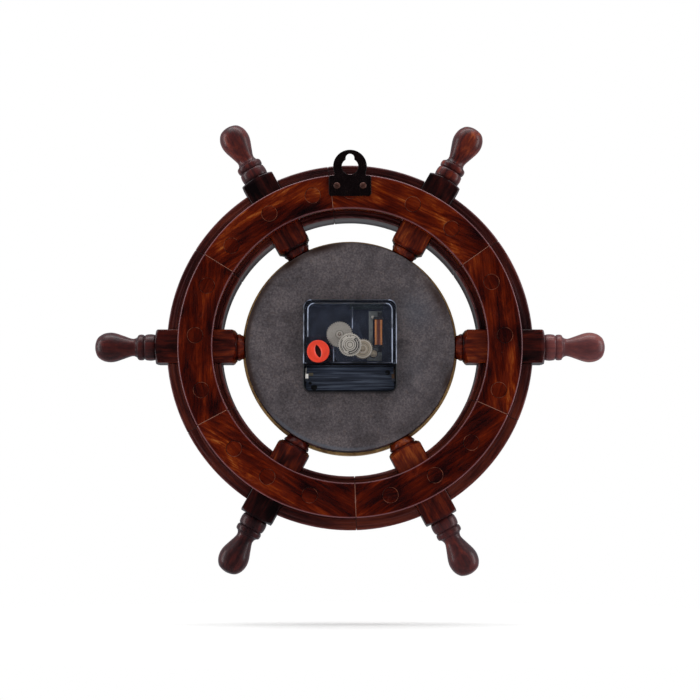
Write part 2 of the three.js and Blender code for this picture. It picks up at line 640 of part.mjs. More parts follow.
function makeTrain() {
  const pinionFront = (wheelLevel) => level(wheelLevel) - (PINION_THICKNESS - WHEEL_THICKNESS) / 2;
  const arbor = (place, from, to) => rod(ARBOR_R, level(from), level(to), place);

  // Rotor and transfer wheel
  const rotorPhase = ROTOR_DIRECTION + 180;
  const transferPhase = matePhase(ROTOR_TEETH, rotorPhase, TRANSFER_TEETH, ROTOR_DIRECTION + 180);
  const magnetFront = level(STATOR_LEVEL) + (STATOR_THICKNESS - MAGNET_LENGTH) / 2;
  put("rotor", join(
    arbor(rotorPlace, CASE_FLOOR + RUN_GAP, arborEnd),
    rod(MAGNET_R, magnetFront, magnetFront + MAGNET_LENGTH, rotorPlace),
    gear(ROTOR_TEETH, pitch(ROTOR_TEETH, TRANSFER_TEETH, ROTOR_DISTANCE), rotorPhase,
      pinionFront(transferLevel), PINION_THICKNESS, rotorPlace),
  ), steel);
  const transferPinionPhase = TRANSFER_DIRECTION + 180;
  put("transfer_wheel", join(
    arbor(transferPlace, middlePlateLevel, arborEnd),
    gear(TRANSFER_TEETH, pitch(TRANSFER_TEETH, ROTOR_TEETH, ROTOR_DISTANCE), transferPhase,
      level(transferLevel), WHEEL_THICKNESS, transferPlace),
    gear(TRANSFER_PINION_TEETH, pitch(TRANSFER_PINION_TEETH, SECONDS_TEETH, TRANSFER_DISTANCE),
      transferPinionPhase, pinionFront(secondsLevel), PINION_THICKNESS, transferPlace),
  ), wheelGrey);

  // Seconds wheel, whose arbor carries the seconds hand
  const secondsPhase = matePhase(
    TRANSFER_PINION_TEETH, transferPinionPhase, SECONDS_TEETH, TRANSFER_DIRECTION + 180);
  const secondsPinionPhase = THIRD_DIRECTION;
  put("seconds_wheel", join(
    rod(SECONDS_ARBOR_R, secondsHandFront + FIT_GAP, level(arborEnd)),
    gear(SECONDS_TEETH, pitch(SECONDS_TEETH, TRANSFER_PINION_TEETH, TRANSFER_DISTANCE), secondsPhase,
      level(secondsLevel), WHEEL_THICKNESS),
    gear(SECONDS_PINION_TEETH, pitch(SECONDS_PINION_TEETH, THIRD_TEETH, THIRD_DISTANCE),
      secondsPinionPhase, pinionFront(thirdLevel), PINION_THICKNESS),
  ), wheelGrey);

  // Third wheel and centre wheel; the centre wheel grips the cannon pinion by friction
  const thirdPhase = matePhase(SECONDS_PINION_TEETH, secondsPinionPhase, THIRD_TEETH, THIRD_DIRECTION);
  const thirdPinionPhase = THIRD_DIRECTION + 180;
  put("third_wheel", join(
    arbor(thirdPlace, RUN_GAP, arborEnd),
    gear(THIRD_TEETH, pitch(THIRD_TEETH, SECONDS_PINION_TEETH, THIRD_DISTANCE), thirdPhase,
      level(thirdLevel), WHEEL_THICKNESS, thirdPlace),
    gear(THIRD_PINION_TEETH, pitch(THIRD_PINION_TEETH, CENTRE_TEETH, THIRD_DISTANCE),
      thirdPinionPhase, pinionFront(centreLevel), PINION_THICKNESS, thirdPlace),
  ), wheelGrey);
  const centrePhase = matePhase(THIRD_PINION_TEETH, thirdPinionPhase, CENTRE_TEETH, THIRD_DIRECTION + 180);
  const centreR = pitch(CENTRE_TEETH, THIRD_PINION_TEETH, THIRD_DISTANCE);
  const centreBack = level(centreLevel) + WHEEL_THICKNESS;
  put("centre_wheel", plate(toothed(CENTRE_TEETH, centreR, centrePhase), WHEEL_THICKNESS, centreBack,
    [roundHole(cannonR + FIT_GAP)]), wheelGrey);

  // Motion work: cannon pinion, motion wheel, hour wheel
  const cannonPhase = MOTION_DIRECTION;
  const cannonEnd = level(middlePlateLevel) - RUN_GAP;
  const cannon = join(
    rod(cannonR, minuteHandFront - SHAFT_PROUD, cannonEnd),
    gear(CANNON_TEETH, pitch(CANNON_TEETH, MOTION_TEETH, MOTION_DISTANCE), cannonPhase,
      pinionFront(motionLevel), PINION_THICKNESS),
  );
  const secondsBore = rod(cannonBoreR, minuteHandFront - CUT_MARGIN, cannonEnd + CUT_MARGIN);
  put("cannon_pinion", cut(cannon, secondsBore), brass);
  const motionPhase = matePhase(CANNON_TEETH, cannonPhase, MOTION_TEETH, MOTION_DIRECTION);
  const motionPinionPhase = MOTION_DIRECTION + 180;
  put("motion_wheel", join(
    arbor(motionPlace, RUN_GAP, middlePlateLevel + MIDDLE_PLATE_THICKNESS),
    gear(MOTION_TEETH, pitch(MOTION_TEETH, CANNON_TEETH, MOTION_DISTANCE), motionPhase,
      level(motionLevel), WHEEL_THICKNESS, motionPlace),
    gear(MOTION_PINION_TEETH, pitch(MOTION_PINION_TEETH, HOUR_TEETH, MOTION_DISTANCE),
      motionPinionPhase, pinionFront(hourLevel), PINION_THICKNESS, motionPlace),
  ), wheelGrey);
  const hourPhase = matePhase(MOTION_PINION_TEETH, motionPinionPhase, HOUR_TEETH, MOTION_DIRECTION + 180);
  const hourBack = level(hourLevel) + WHEEL_THICKNESS;
  const hour = join(
    rod(hourTubeR, hourHandFront - SHAFT_PROUD, hourBack),
    gear(HOUR_TEETH, pitch(HOUR_TEETH, MOTION_PINION_TEETH, MOTION_DISTANCE), hourPhase,
      level(hourLevel), WHEEL_THICKNESS),
  );
  const hourBore = rod(hourBoreR, hourHandFront - CUT_MARGIN, hourBack + CUT_MARGIN);
  put("hour_wheel", cut(hour, hourBore), wheelGrey);

  // Setting knob, whose gear turns the motion wheel
  const knobPhase = matePhase(MOTION_TEETH, motionPhase, KNOB_TEETH, KNOB_DIRECTION);
  const knobFront = coverBack - KNOB_THICKNESS;
  const knob = join(
    rod(KNOB_SHAFT_R, level(CASE_FLOOR) + RUN_GAP, knobFront + KNOB_LAP, knobPlace),
    rod(KNOB_R, knobFront, coverBack, knobPlace),
    gear(KNOB_TEETH, pitch(KNOB_TEETH, MOTION_TEETH, knobDistance), knobPhase,
      level(motionLevel), WHEEL_THICKNESS, knobPlace),
    arbor(knobPlace, RUN_GAP, motionLevel),
  );
  const slot = block([-KNOB_SLOT_WIDTH / 2, coverBack - KNOB_SLOT_DEPTH, -KNOB_SLOT_LENGTH / 2],
    [KNOB_SLOT_WIDTH / 2, coverBack + CUT_MARGIN, KNOB_SLOT_LENGTH / 2]);
  put("set_knob", cut(knob, slot.translate(knobPlace[0], 0, knobPlace[1])), knobRed);
}

// Case of the movement: a base that holds the wheels and the cell, and a cover over the wheels
const coilLevel = STATOR_LEVEL + STATOR_THICKNESS / 2;
const coilX = rotorPlace[0] - COIL_BESIDE;
const coilBottom = rotorPlace[1] + COIL_ABOVE;
const statorLeft = coilX - TAB_WIDTH / 2 - STATOR_MARGIN;
const statorRight = rotorPlace[0] + STATOR_BORE_R + STATOR_RIM;
const coilTop = coilBottom + COIL_LENGTH;
const statorTop = coilTop + FLANGE_THICKNESS + FIT_GAP + STATOR_PAD;
const boardTop = statorTop + BOARD_CLEARANCE + BOARD_WIDTH;
const boardLeft = statorLeft - BOARD_LEAD;
const boardRight = boardLeft + BOARD_LENGTH;
const boardMiddle = boardTop - BOARD_WIDTH / 2;
const innerHalf = BAY_LENGTH / 2;
const innerTop = boardTop + CONTACT_THICKNESS + 2 * FIT_GAP;
const dividerTop = knobPlace[1] - KNOB_R - KNOB_CLEARANCE;
const bayTop = dividerTop - DIVIDER_WALL;
const bayBottom = bayTop - BAY_WIDTH;
const caseHalf = innerHalf + CASE_WALL;
const caseTop = innerTop + CASE_WALL;
const caseBottom = bayBottom - CASE_WALL;
const coverHalf = caseHalf - COVER_INSET;
const coverTop = caseTop - COVER_INSET;
const coverBottom = dividerTop + FIT_GAP;
const shelfBack = caseDepth - KNOB_THICKNESS - RUN_GAP;
const bossPlaces = [centre, thirdPlace, transferPlace, rotorPlace];

function makeBase() {
  const outline = roundedRectangle(-caseHalf, caseBottom, caseHalf, caseTop, CASE_CORNER_R);
  const inside = CASE_CORNER_R - CASE_WALL;
  const upperRoom = roundedRectangle(-innerHalf, dividerTop, innerHalf, innerTop, [inside, inside, 0, 0]);
  const bayRoom = roundedRectangle(-innerHalf, bayBottom, innerHalf, bayTop,
    [0, 0, BAY_CORNER_R, BAY_CORNER_R]);
  const slotWidth = CONTACT_THICKNESS + 2 * FIT_GAP;
  const aboveFloor = (room) => plate(room, caseDepth, level(CASE_FLOOR + caseDepth));
  const rebate = block([-caseHalf - CUT_MARGIN, level(BASE_DEPTH), dividerTop],
    [caseHalf + CUT_MARGIN, level(caseDepth), caseTop + CUT_MARGIN]);
  const slot = (left) => block([left, level(CASE_FLOOR), bayTop - CUT_MARGIN],
    [left + slotWidth, level(caseDepth), dividerTop + CUT_MARGIN]);
  const shell = cut(solid(plate(outline, BAY_DEPTH, level(BAY_DEPTH))), rebate, aboveFloor(upperRoom),
    aboveFloor(bayRoom), slot(-innerHalf), slot(innerHalf - slotWidth));

  const inFloor = CASE_FLOOR / 2;
  const post = (place, height) => rod(POST_R, level(inFloor), level(height) - FIT_GAP, place);
  const posts = [
    ...PLATE_POSTS.map((place) => post(place, middlePlateLevel)),
    post([coilX, statorTop - STATOR_PAD / 2], STATOR_LEVEL),
    post([statorLeft + POST_R, rotorPlace[1] - STATOR_BORE_R], STATOR_LEVEL),
    post([boardLeft + BOARD_WIDTH / 2, boardMiddle], BOARD_LEVEL),
    post([boardRight - BOARD_WIDTH / 2, boardMiddle], BOARD_LEVEL),
    rod(PIVOT_BOSS_R, level(inFloor), level(STATOR_LEVEL) - ROTOR_POST_DROP, rotorPlace),
    rod(bushingR, bushingFront, level(inFloor)),
  ];
  const whole = posts.reduce((sum, next) => sum.add(solid(next)), shell);
  const pivotR = ARBOR_R + RUN_GAP;
  const pivots = [thirdPlace, motionPlace, knobPlace].map((place) =>
    rod(pivotR, caseFront - CUT_MARGIN, level(CASE_FLOOR) + CUT_MARGIN, place));
  const rotorPivot = rod(pivotR, level(CASE_FLOOR), level(STATOR_LEVEL), rotorPlace);
  const bore = rod(bushingBoreR, bushingFront - CUT_MARGIN, level(CASE_FLOOR) + CUT_MARGIN);
  put("movement_base", cut(whole, ...pivots, rotorPivot, bore), caseBlack);
}

function makeCover() {
  const [knobX, knobZ] = knobPlace;
  const flangeOutline = roundedRectangle(-caseHalf, coverBottom, caseHalf, caseTop,
    [CASE_CORNER_R, CASE_CORNER_R, 0, 0]);
  const raisedOutline = roundedRectangle(-coverHalf, coverBottom, coverHalf, coverTop,
    [COVER_CORNER_R, COVER_CORNER_R, 0, 0]);
  const insideR = COVER_CORNER_R - COVER_WALL;
  const roomOutline = roundedRectangle(-coverHalf + COVER_WALL, coverBottom + COVER_WALL,
    coverHalf - COVER_WALL, coverTop - COVER_WALL, [insideR, insideR, 0, 0]);
  const flangeFront = BASE_DEPTH + FIT_GAP;
  const recess = (margin, back) => {
    const reach = KNOB_R + RECESS_MARGIN + margin;
    const outline = roundedRectangle(knobX - reach, caseBottom, caseHalf + CUT_MARGIN, knobZ + reach,
      [0, RECESS_CORNER_R + margin, 0, 0]);
    return plate(outline, caseDepth, level(back + caseDepth));
  };
  const outer = cut(join(
    plate(flangeOutline, FLANGE_DEPTH, level(flangeFront + FLANGE_DEPTH)),
    plate(raisedOutline, caseDepth - flangeFront, coverBack),
  ), recess(0, shelfBack));
  const room = cut(solid(plate(roomOutline, caseDepth, coverBack - COVER_WALL)),
    recess(COVER_WALL, shelfBack - COVER_WALL));
  const bossFront = level(arborEnd - BOSS_LAP);
  const bosses = bossPlaces.map((place) => rod(PIVOT_BOSS_R, bossFront, coverBack - COVER_WALL / 2, place));
  const rib = block([RIB_X - RIB_WIDTH / 2, coverBack - COVER_WALL / 2, RIB_BOTTOM],
    [RIB_X + RIB_WIDTH / 2, coverBack + RIB_HEIGHT, RIB_BOTTOM + RIB_LENGTH]);
  const whole = [...bosses, rib].reduce((sum, next) => sum.add(solid(next)), outer.subtract(room));
  const pivots = bossPlaces.map((place) => {
    const pivotR = (place === centre ? SECONDS_ARBOR_R : ARBOR_R) + RUN_GAP;
    return rod(pivotR, bossFront - CUT_MARGIN, level(arborEnd) + RUN_GAP, place);
  });
  const knobHole = rod(KNOB_SHAFT_R + RUN_GAP, level(BASE_DEPTH), coverBack, knobPlace);
  put("movement_cover", cut(whole, ...pivots, knobHole), caseBlack);
}

function makeMiddlePlate() {
  const edge = MIDDLE_PLATE_MARGIN;
  const [topPost, sidePost, lowPost] = PLATE_POSTS;
  const left = lowPost[0] - edge;
  const back = level(middlePlateLevel) + MIDDLE_PLATE_THICKNESS;
  const outline = [
    [left, lowPost[1] - edge],
    [motionPlace[0] - edge, lowPost[1] - edge],
    [motionPlace[0] + edge, motionPlace[1] - edge],
    [sidePost[0] + edge, sidePost[1] - edge],
    [sidePost[0] + edge, sidePost[1] + edge],
    [topPost[0] + edge, topPost[1] + edge],
    [topPost[0] - edge, topPost[1] + edge],
    [left, transferPlace[1] + edge],
  ];
  const through = (radius, place) =>
    rod(radius, back - MIDDLE_PLATE_THICKNESS - CUT_MARGIN, back + CUT_MARGIN, place);
  const pivots = [thirdPlace, transferPlace, motionPlace].map((place) => through(ARBOR_R + RUN_GAP, place));
  const statorRoom = block([statorLeft, level(middlePlateLevel) - CUT_MARGIN, -statorTop],
    [statorRight + FIT_GAP, back + CUT_MARGIN, statorTop]);
  put("middle_plate", cut(solid(plate(outline, MIDDLE_PLATE_THICKNESS, back)),
    statorRoom, through(SECONDS_ARBOR_R + RUN_GAP, centre), ...pivots), caseBlack);
}

function makeMotor() {
  const armLeft = coilX + FLANGE_SIDE / 2 + FIT_GAP;
  const armRight = armLeft + STATOR_ARM_WIDTH;
  const plateTop = coilBottom - FLANGE_THICKNESS - FIT_GAP;
  const plateBottom = rotorPlace[1] - STATOR_BORE_R - STATOR_RIM;
  const outline = [[statorLeft, plateBottom], [statorRight, plateBottom], [statorRight, plateTop],
    [armRight, plateTop], [armRight, statorTop], [statorLeft, statorTop],
    [statorLeft, statorTop - STATOR_PAD], [armLeft, statorTop - STATOR_PAD], [armLeft, plateTop],
    [statorLeft, plateTop]];
  const statorBack = level(STATOR_LEVEL) + STATOR_THICKNESS;
  put("stator", plate(outline, STATOR_THICKNESS, statorBack,
    [roundHole(STATOR_BORE_R, rotorPlace)]), steel);

  const coilY = level(coilLevel);
  const half = FLANGE_SIDE / 2;
  const onAxis = (geometry) => geometry.rotateX(Math.PI / 2).translate(coilX, coilY, coilBottom);
  const flange = (bottom) => block([coilX - half, coilY - half, bottom],
    [coilX + half, coilY + half, bottom + FLANGE_THICKNESS]);
  const tabFront = statorBack + FIT_GAP;
  const tab = (bottom) => block([statorLeft, tabFront, bottom],
    [statorLeft + TAB_WIDTH, tabFront + STATOR_THICKNESS, bottom + TAB_LENGTH + FLANGE_THICKNESS / 2]);
  put("coil_bobbin", join(
    onAxis(rod(COIL_CORE_R, -FLANGE_THICKNESS / 2, COIL_LENGTH + FLANGE_THICKNESS / 2)),
    flange(coilBottom - FLANGE_THICKNESS), flange(coilTop),
    tab(coilBottom - FLANGE_THICKNESS - TAB_LENGTH), tab(coilTop + FLANGE_THICKNESS / 2),
  ), bobbinGrey);
  put("coil_winding", onAxis(tube(COIL_CORE_R + FIT_GAP, COIL_R, FIT_GAP, COIL_LENGTH - FIT_GAP)), copper);

  put("circuit_board", block([boardLeft, level(BOARD_LEVEL), boardTop - BOARD_WIDTH],
    [boardRight, level(BOARD_LEVEL) + BOARD_THICKNESS, boardTop]), boardGreen);
}

// Contact at one end of the bay, with a strip along the case's wall to the circuit board
function makeContact(name, side, stripEnd) {
  const outerR = CASE_CORNER_R - CASE_WALL - FIT_GAP;
  const innerR = outerR - CONTACT_THICKNESS;
  const cornerX = caseHalf - CASE_CORNER_R;
  const cornerZ = caseTop - CASE_CORNER_R;
  const steps = 4;
  const arc = (radius) => Array.from({ length: steps + 1 }, (_, i) =>
    offset([cornerX, cornerZ], radius, (90 * i) / steps));
  const middle = (bayBottom + bayTop) / 2;
  const foot = middle - CONTACT_WIDTH / 2;
  const outline = [[cornerX + innerR, foot], [cornerX + outerR, foot], ...arc(outerR),
    [stripEnd, cornerZ + outerR], [stripEnd, cornerZ + innerR], ...arc(innerR).reverse()];
  const strip = plate(outline, STRIP_HEIGHT, level(STRIP_LEVEL) + STRIP_HEIGHT);
  const tongue = block([cornerX + innerR, level(CASE_FLOOR) + FIT_GAP, foot],
    [cornerX + outerR, level(BAY_DEPTH) - FIT_GAP, foot + CONTACT_WIDTH]);
  const fold = block([cornerX + outerR - CONTACT_FOLD, level(BAY_DEPTH) - FIT_GAP - CONTACT_THICKNESS, foot],
    [cornerX + outerR, level(BAY_DEPTH) - FIT_GAP, foot + CONTACT_WIDTH]);
  const geometry = surface(join(strip, tongue, fold));
  if (side < 0) {
    geometry.scale(-1, 1, 1);
    geometry.setIndex(Array.from(geometry.index.array).reverse());
  }
  put(name, geometry, steel);
}

// Hanger
function makeHanger() {
  const half = HANGER_PLATE_WIDTH / 2;
  const base = roundedRectangle(-half, hangerBottom, half, hangerTop, HANGER_CORNER_R, 2);
  const neckHalf = HANGER_NECK_WIDTH / 2;
  const shoulder = half - HANGER_SHOULDER;
  const neckBottom = hangerBottom + HANGER_PLATE_HEIGHT / 2;
  const neck = [[-shoulder, neckBottom], [shoulder, neckBottom], [shoulder, hangerTop],
    [neckHalf, hangerRingHeight], [-neckHalf, hangerRingHeight], [-shoulder, hangerTop]];
  const ringCentre = [0, hangerRingHeight];
  const flat = (shape) => plate(shape, HANGER_THICKNESS, hangerBack);
  const whole = join(flat(base), flat(neck), rod(SLOT_RISE + SLOT_RIM, hangerFront, hangerBack, ringCentre));
  const slotHalf = SLOT_WIDTH / 2;
  const slotCentre = [0, nailHeight - slotHalf];
  const through = (radius, place) => rod(radius, hangerFront - CUT_MARGIN, hangerBack + CUT_MARGIN, place);
  const slot = block([-slotHalf, hangerFront - CUT_MARGIN, hangerRingHeight],
    [slotHalf, hangerBack + CUT_MARGIN, slotCentre[1]]);
  const holes = screwPlaces.map((place) => through(SCREW_SHANK_R + FIT_GAP, place));
  put("hanger_plate", cut(whole, through(KEYHOLE_R, ringCentre), through(slotHalf, slotCentre),
    slot, ...holes), blackSteel);

  const headFront = hangerBack + FIT_GAP;
  const headBack = headFront + SCREW_HEAD_HEIGHT;
  screwPlaces.forEach(([x, z], i) => {
    const screw = turned([
      [0, screwTip], [SCREW_SHANK_R, screwTip + 2 * SCREW_SHANK_R], [SCREW_SHANK_R, headFront],
      [SCREW_HEAD_R, headFront], [SCREW_HEAD_TOP_R, headBack], [0, headBack],
    ], facetsOf(SCREW_HEAD_R)).translate(x, 0, z);
    const groove = block([x - SCREW_HEAD_R, headBack - SCREW_HEAD_HEIGHT / 2, z - SCREW_SLOT_WIDTH / 2],
      [x + SCREW_HEAD_R, headBack + CUT_MARGIN, z + SCREW_SLOT_WIDTH / 2]);
    put(`hanger_screw_${i + 1}`, cut(solid(screw), groove), bronze);
  });
}

makeRim();
makeSpokes();
makeHub();
makeHands();
makeTrain();
makeBase();
makeMiddlePlate();
makeCover();
makeMotor();
makeContact("contact_minus", 1, boardRight - STRIP_LAP);
makeContact("contact_plus", -1, -boardLeft - STRIP_LAP);
makeHanger();

const clock = new THREE.Group();
clock.add(wheel);

export default clock;
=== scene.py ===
"""Ship wheel clock: the looks of every piece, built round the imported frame.

Shapes are worked out in millimetres from the wheel's axis, with Y from the rim's wall side, and are
then put in place in metres. Angles run from +X towards +Z, as the dial is read.
"""

import math
from types import SimpleNamespace

import bmesh
import bpy
from mathutils import Matrix, Vector


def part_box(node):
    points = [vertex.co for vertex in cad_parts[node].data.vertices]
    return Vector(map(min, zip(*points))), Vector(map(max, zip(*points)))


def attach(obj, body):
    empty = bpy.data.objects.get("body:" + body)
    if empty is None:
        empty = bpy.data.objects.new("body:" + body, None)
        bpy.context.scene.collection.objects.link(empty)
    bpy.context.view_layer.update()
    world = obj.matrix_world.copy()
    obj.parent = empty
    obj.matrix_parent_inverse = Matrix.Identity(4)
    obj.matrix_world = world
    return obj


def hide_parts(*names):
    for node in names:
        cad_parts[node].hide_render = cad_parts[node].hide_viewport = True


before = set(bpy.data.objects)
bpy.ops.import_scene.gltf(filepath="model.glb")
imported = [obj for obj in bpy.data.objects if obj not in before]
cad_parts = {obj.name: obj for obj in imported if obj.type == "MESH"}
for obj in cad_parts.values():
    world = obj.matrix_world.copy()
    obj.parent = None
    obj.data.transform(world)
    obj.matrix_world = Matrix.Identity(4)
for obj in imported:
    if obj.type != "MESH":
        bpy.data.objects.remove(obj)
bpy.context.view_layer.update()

MM = 0.001
GAP = 0.3
HUB_LOW, HUB_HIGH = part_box("hub_body")
RIM_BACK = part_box("rim_back_felloe_1")[1].y
CENTRE = Vector(((HUB_LOW.x + HUB_HIGH.x) / 2, RIM_BACK, (HUB_LOW.z + HUB_HIGH.z) / 2))

# Light: strengths at which a colour renders about as it is written
AMBIENT = 0.66
DIAL_AMBIENT = 1.16  # the same on the dial side
SIDE_GLOSS = 0.72  # what polished edges reflect
FACE_GLOSS = 0.015  # what faces turned to the wall or away from it reflect
LOW_SHARE = 0.35  # of that light from below
TABLE_GLOSS = 0.4  # what shows low down on the dial side
FRONT_GLOSS = 0.55  # what shows round the dial side's middle
GLOSS_TINT = (0.84, 0.91, 1.0, 1)
# Name, place from the wheel's centre, size in metres and watts
LAMPS = (
    ("top_light", (0, 0.1, 1.1), (1.6, 0.9), 6.0), ("top_strip", (0, -0.05, 1.05), (1.2, 0.24), 3.6),
    ("left_light", (1.1, 0.08, 0.15), (0.32, 1.1), 5.0),
    ("right_light", (-1.1, 0.08, 0.15), (0.32, 1.1), 5.0))

# Camera and floor
CAMERA_DISTANCE = 1.147
CAMERA_ELEVATION = -5.15
CAMERA_SHIFT = (0.0, -0.0036)
PHOTO_WIDTH = 0.4179  # metres across the picture at the spokes
SENSOR = 36.0
FLOOR_DROP = 0.1640  # from the wheel's centre, below the lowest handles
FLOOR_RADIUS = 0.32
FLOOR_SIDES = 96
FLOOR_FADE = (0.02, 0.24)  # from here to there the shadow's floor fades into plain white
FLOOR_WHITE = 1.12

# Fineness of the meshes
ARC_STEP = 1.5  # degrees from one section of the rim to the next
ROUND_STEPS = 128
FINE_STEPS = 192
ROD_STEPS = 48
EDGE_ROUND = 0.9
SHARP_ANGLE = 38
SQUARE = 0.01  # radius or edge of a corner that stays square


def polar(radius, angle, y=0.0):
    turn = math.radians(angle)
    return Vector((radius * math.cos(turn), y, radius * math.sin(turn)))


def srgb(red, green, blue_and_lit_edge):
    """A colour written as 0 to 255, as the shaders' linear values."""
    def linear(value):
        share = value / 255
        return share / 12.92 if share <= 0.04045 else ((share + 0.055) / 1.055) ** 2.4
    return (linear(red), linear(green), linear(blue_and_lit_edge), 1.0)


def dimmed(color, share):
    return tuple(c * share for c in color[:3]) + (1.0,)


# Sizes read from the frame
def corners(node):
    return [(vertex.co - CENTRE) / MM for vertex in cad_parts[node].data.vertices]


def measure(node, place=(0.0, 0.0)):
    """Least and greatest radius of a node round a place, and its front and back."""
    points = corners(node)
    radii = [math.hypot(p.x - place[0], p.z - place[1]) for p in points]
    depths = [p.y for p in points]
    return SimpleNamespace(inner=min(radii), outer=max(radii), front=min(depths), back=max(depths))


def extent(node):
    low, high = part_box(node)
    return (low - CENTRE) / MM, (high - CENTRE) / MM


def middle(node):
    """Middle of a node's box in the wheel's plane."""
    low, high = extent(node)
    return (low.x + high.x) / 2, (low.z + high.z) / 2


def bearing(x, z):
    return math.degrees(math.atan2(z, x)) % 360


def angle_of(point):
    return bearing(point.x, point.z)


def turn_from(centre, angle):
    """Signed turn from a centre angle, between -180 and 180."""
    return (angle - centre + 180) % 360 - 180


def heading(points):
    return angle_of(sum((Vector((p.x, 0, p.z)).normalized() for p in points), Vector()))


def joint_angles(node):
    """Angles of a felloe's two ends, the second greater than the first."""
    points = corners(node)
    centre = heading(points)
    turns = [turn_from(centre, angle_of(p)) for p in points]
    return centre + min(turns), centre + max(turns)


# Meshes
def add_object(name, data):
    piece = bpy.data.objects.new(name, data)
    bpy.context.scene.collection.objects.link(piece)
    return piece


def shade(mesh, angle=SHARP_ANGLE):
    mesh.shade_smooth()
    mesh.set_sharp_from_angle(angle=math.radians(angle))


def clean(mesh, outward=False):
    """Joins doubled points and, where asked, turns every face outward."""
    work = bmesh.new()
    work.from_mesh(mesh)
    bmesh.ops.remove_doubles(work, verts=work.verts, dist=1e-7)
    if outward:
        bmesh.ops.recalc_face_normals(work, faces=work.faces)
    work.to_mesh(mesh)
    work.free()


def build(name, points, faces, angle=SHARP_ANGLE):
    """A mesh object from points in the wheel's millimetres."""
    mesh = bpy.data.meshes.new(name)
    mesh.from_pydata([CENTRE + Vector(p) * MM for p in points], [], faces)
    clean(mesh, True)
    shade(mesh, angle)
    return add_object(name, mesh)


def loft(name, rings, around=False, angle=SHARP_ANGLE):
    """Skin over closed rings of equal count; around joins the last ring to the first."""
    count = len(rings[0])
    points = [p for ring in rings for p in ring]
    faces = []
    for i in range(len(rings) if around else len(rings) - 1):
        a, b = i * count, (i + 1) % len(rings) * count
        for j in range(count):
            k = (j + 1) % count
            faces.append((a + j, a + k, b + k, b + j))
    if not around:
        faces += [tuple(range(count)), tuple(range(len(points) - count, len(points)))]
    return build(name, points, faces, angle)


def turned(name, profile, place=(0.0, 0.0), steps=ROUND_STEPS, angle=SHARP_ANGLE):
    """A closed profile of radius and depth, turned about the Y direction at a place."""
    points, rows, faces = [], [], []
    for radius, depth in profile:
        count = 1 if radius < 1e-6 else steps
        rows.append([len(points) + i % count for i in range(steps + 1)])
        spots = [polar(radius, 360 * i / steps) for i in range(count)]
        points += [(spot.x + place[0], depth, spot.z + place[1]) for spot in spots]
    for near, far in zip(rows, rows[1:] + rows[:1]):
        for i in range(steps):
            face = tuple(dict.fromkeys((near[i], near[i + 1], far[i + 1], far[i])))
            if len(face) > 2:
                faces.append(face)
    return build(name, points, faces, angle)


def arc(across, along, radius, start, end, steps):
    """Points of an arc round a centre, between two angles."""
    turns = [math.radians(start + (end - start) * i / steps) for i in range(steps + 1)]
    return [(across + radius * math.cos(turn), along + radius * math.sin(turn)) for turn in turns]


def quarter(across, along, radius, start, steps):
    return arc(across, along, radius, start, start + 90, steps)


def disc_profile(radius, front, back, edge, bore=0.0, rounds=3):
    """Profile of a disc or ring whose outer corners are rounded by edge."""
    return [(bore, front), *quarter(radius - edge, front + edge, edge, -90, rounds),
            *quarter(radius - edge, back - edge, edge, 0, rounds), (bore, back)]


def rounded(left, bottom, right, top, radii, steps=6):
    """Outline of a rectangle whose corners, from the top right one round to the left, have these radii."""
    points = []
    spots = ((right, top, -1, -1), (left, top, 1, -1), (left, bottom, 1, 1), (right, bottom, -1, 1))
    for n, ((x, z, inward, upward), radius) in enumerate(zip(spots, radii)):
        points += quarter(x + inward * radius, z + upward * radius, radius, 90 * n, steps)
    return points


def slab(name, box, radii, front, back, front_edge=0.3, back_edge=0.3, rounds=3):
    """A plate with a round-cornered outline and rounded front and back edges."""
    left, bottom, right, top = box
    profile = quarter(-front_edge, front + front_edge, front_edge, -90, rounds)
    profile += quarter(-back_edge, back - back_edge, back_edge, 0, rounds)
    rings = []
    for grow, depth in profile:
        outline = rounded(left - grow, bottom - grow, right + grow, top + grow,
                          [max(radius + grow, SQUARE) for radius in radii])
        rings.append([(x, depth, z) for x, z in outline])
    return loft(name, rings)


def block(name, low, high):
    return slab(name, (low[0], low[2], high[0], high[2]), (SQUARE,) * 4, low[1], high[1], SQUARE, SQUARE, 1)


def rod(radius, front, back, place=(0.0, 0.0), steps=ROD_STEPS):
    return turned("rod", [(0, front), (radius, front), (radius, back), (0, back)], place, steps)


def flat_piece(name, loops, front, back, bevel):
    """A plate cut from an outline with holes, with small rounded edges."""
    curve = bpy.data.curves.new(name, "CURVE")
    curve.dimensions = "2D"
    curve.fill_mode = "BOTH"
    curve.extrude = (back - front) / 2 * MM - bevel * MM
    curve.bevel_depth = bevel * MM
    curve.bevel_resolution = 2
    curve.offset = -bevel * MM
    for loop in loops:
        spline = curve.splines.new("POLY")
        spline.points.add(len(loop) - 1)
        spline.use_cyclic_u = True
        for point, (x, z) in zip(spline.points, loop):
            point.co = (x * MM, z * MM, 0, 1)
    return settle(name, curve, Vector((0, (front + back) / 2, 0)))


def evaluated(piece):
    bpy.context.view_layer.update()
    return bpy.data.meshes.new_from_object(piece.evaluated_get(bpy.context.evaluated_depsgraph_get()))


def settle(name, curve, place):
    """Turns a flat curve or text into a mesh that stands in the dial's plane."""
    source = add_object(name + "_source", curve)
    mesh = evaluated(source)
    bpy.data.objects.remove(source)
    mesh.transform(Matrix.Translation(CENTRE + place * MM) @ Matrix.Rotation(math.pi / 2, 4, "X"))
    mesh.name = name
    clean(mesh)
    shade(mesh)
    return add_object(name, mesh)


def apply_modifiers(piece):
    mesh = evaluated(piece)
    piece.modifiers.clear()
    piece.data = mesh
    mesh.name = piece.name
    shade(mesh)


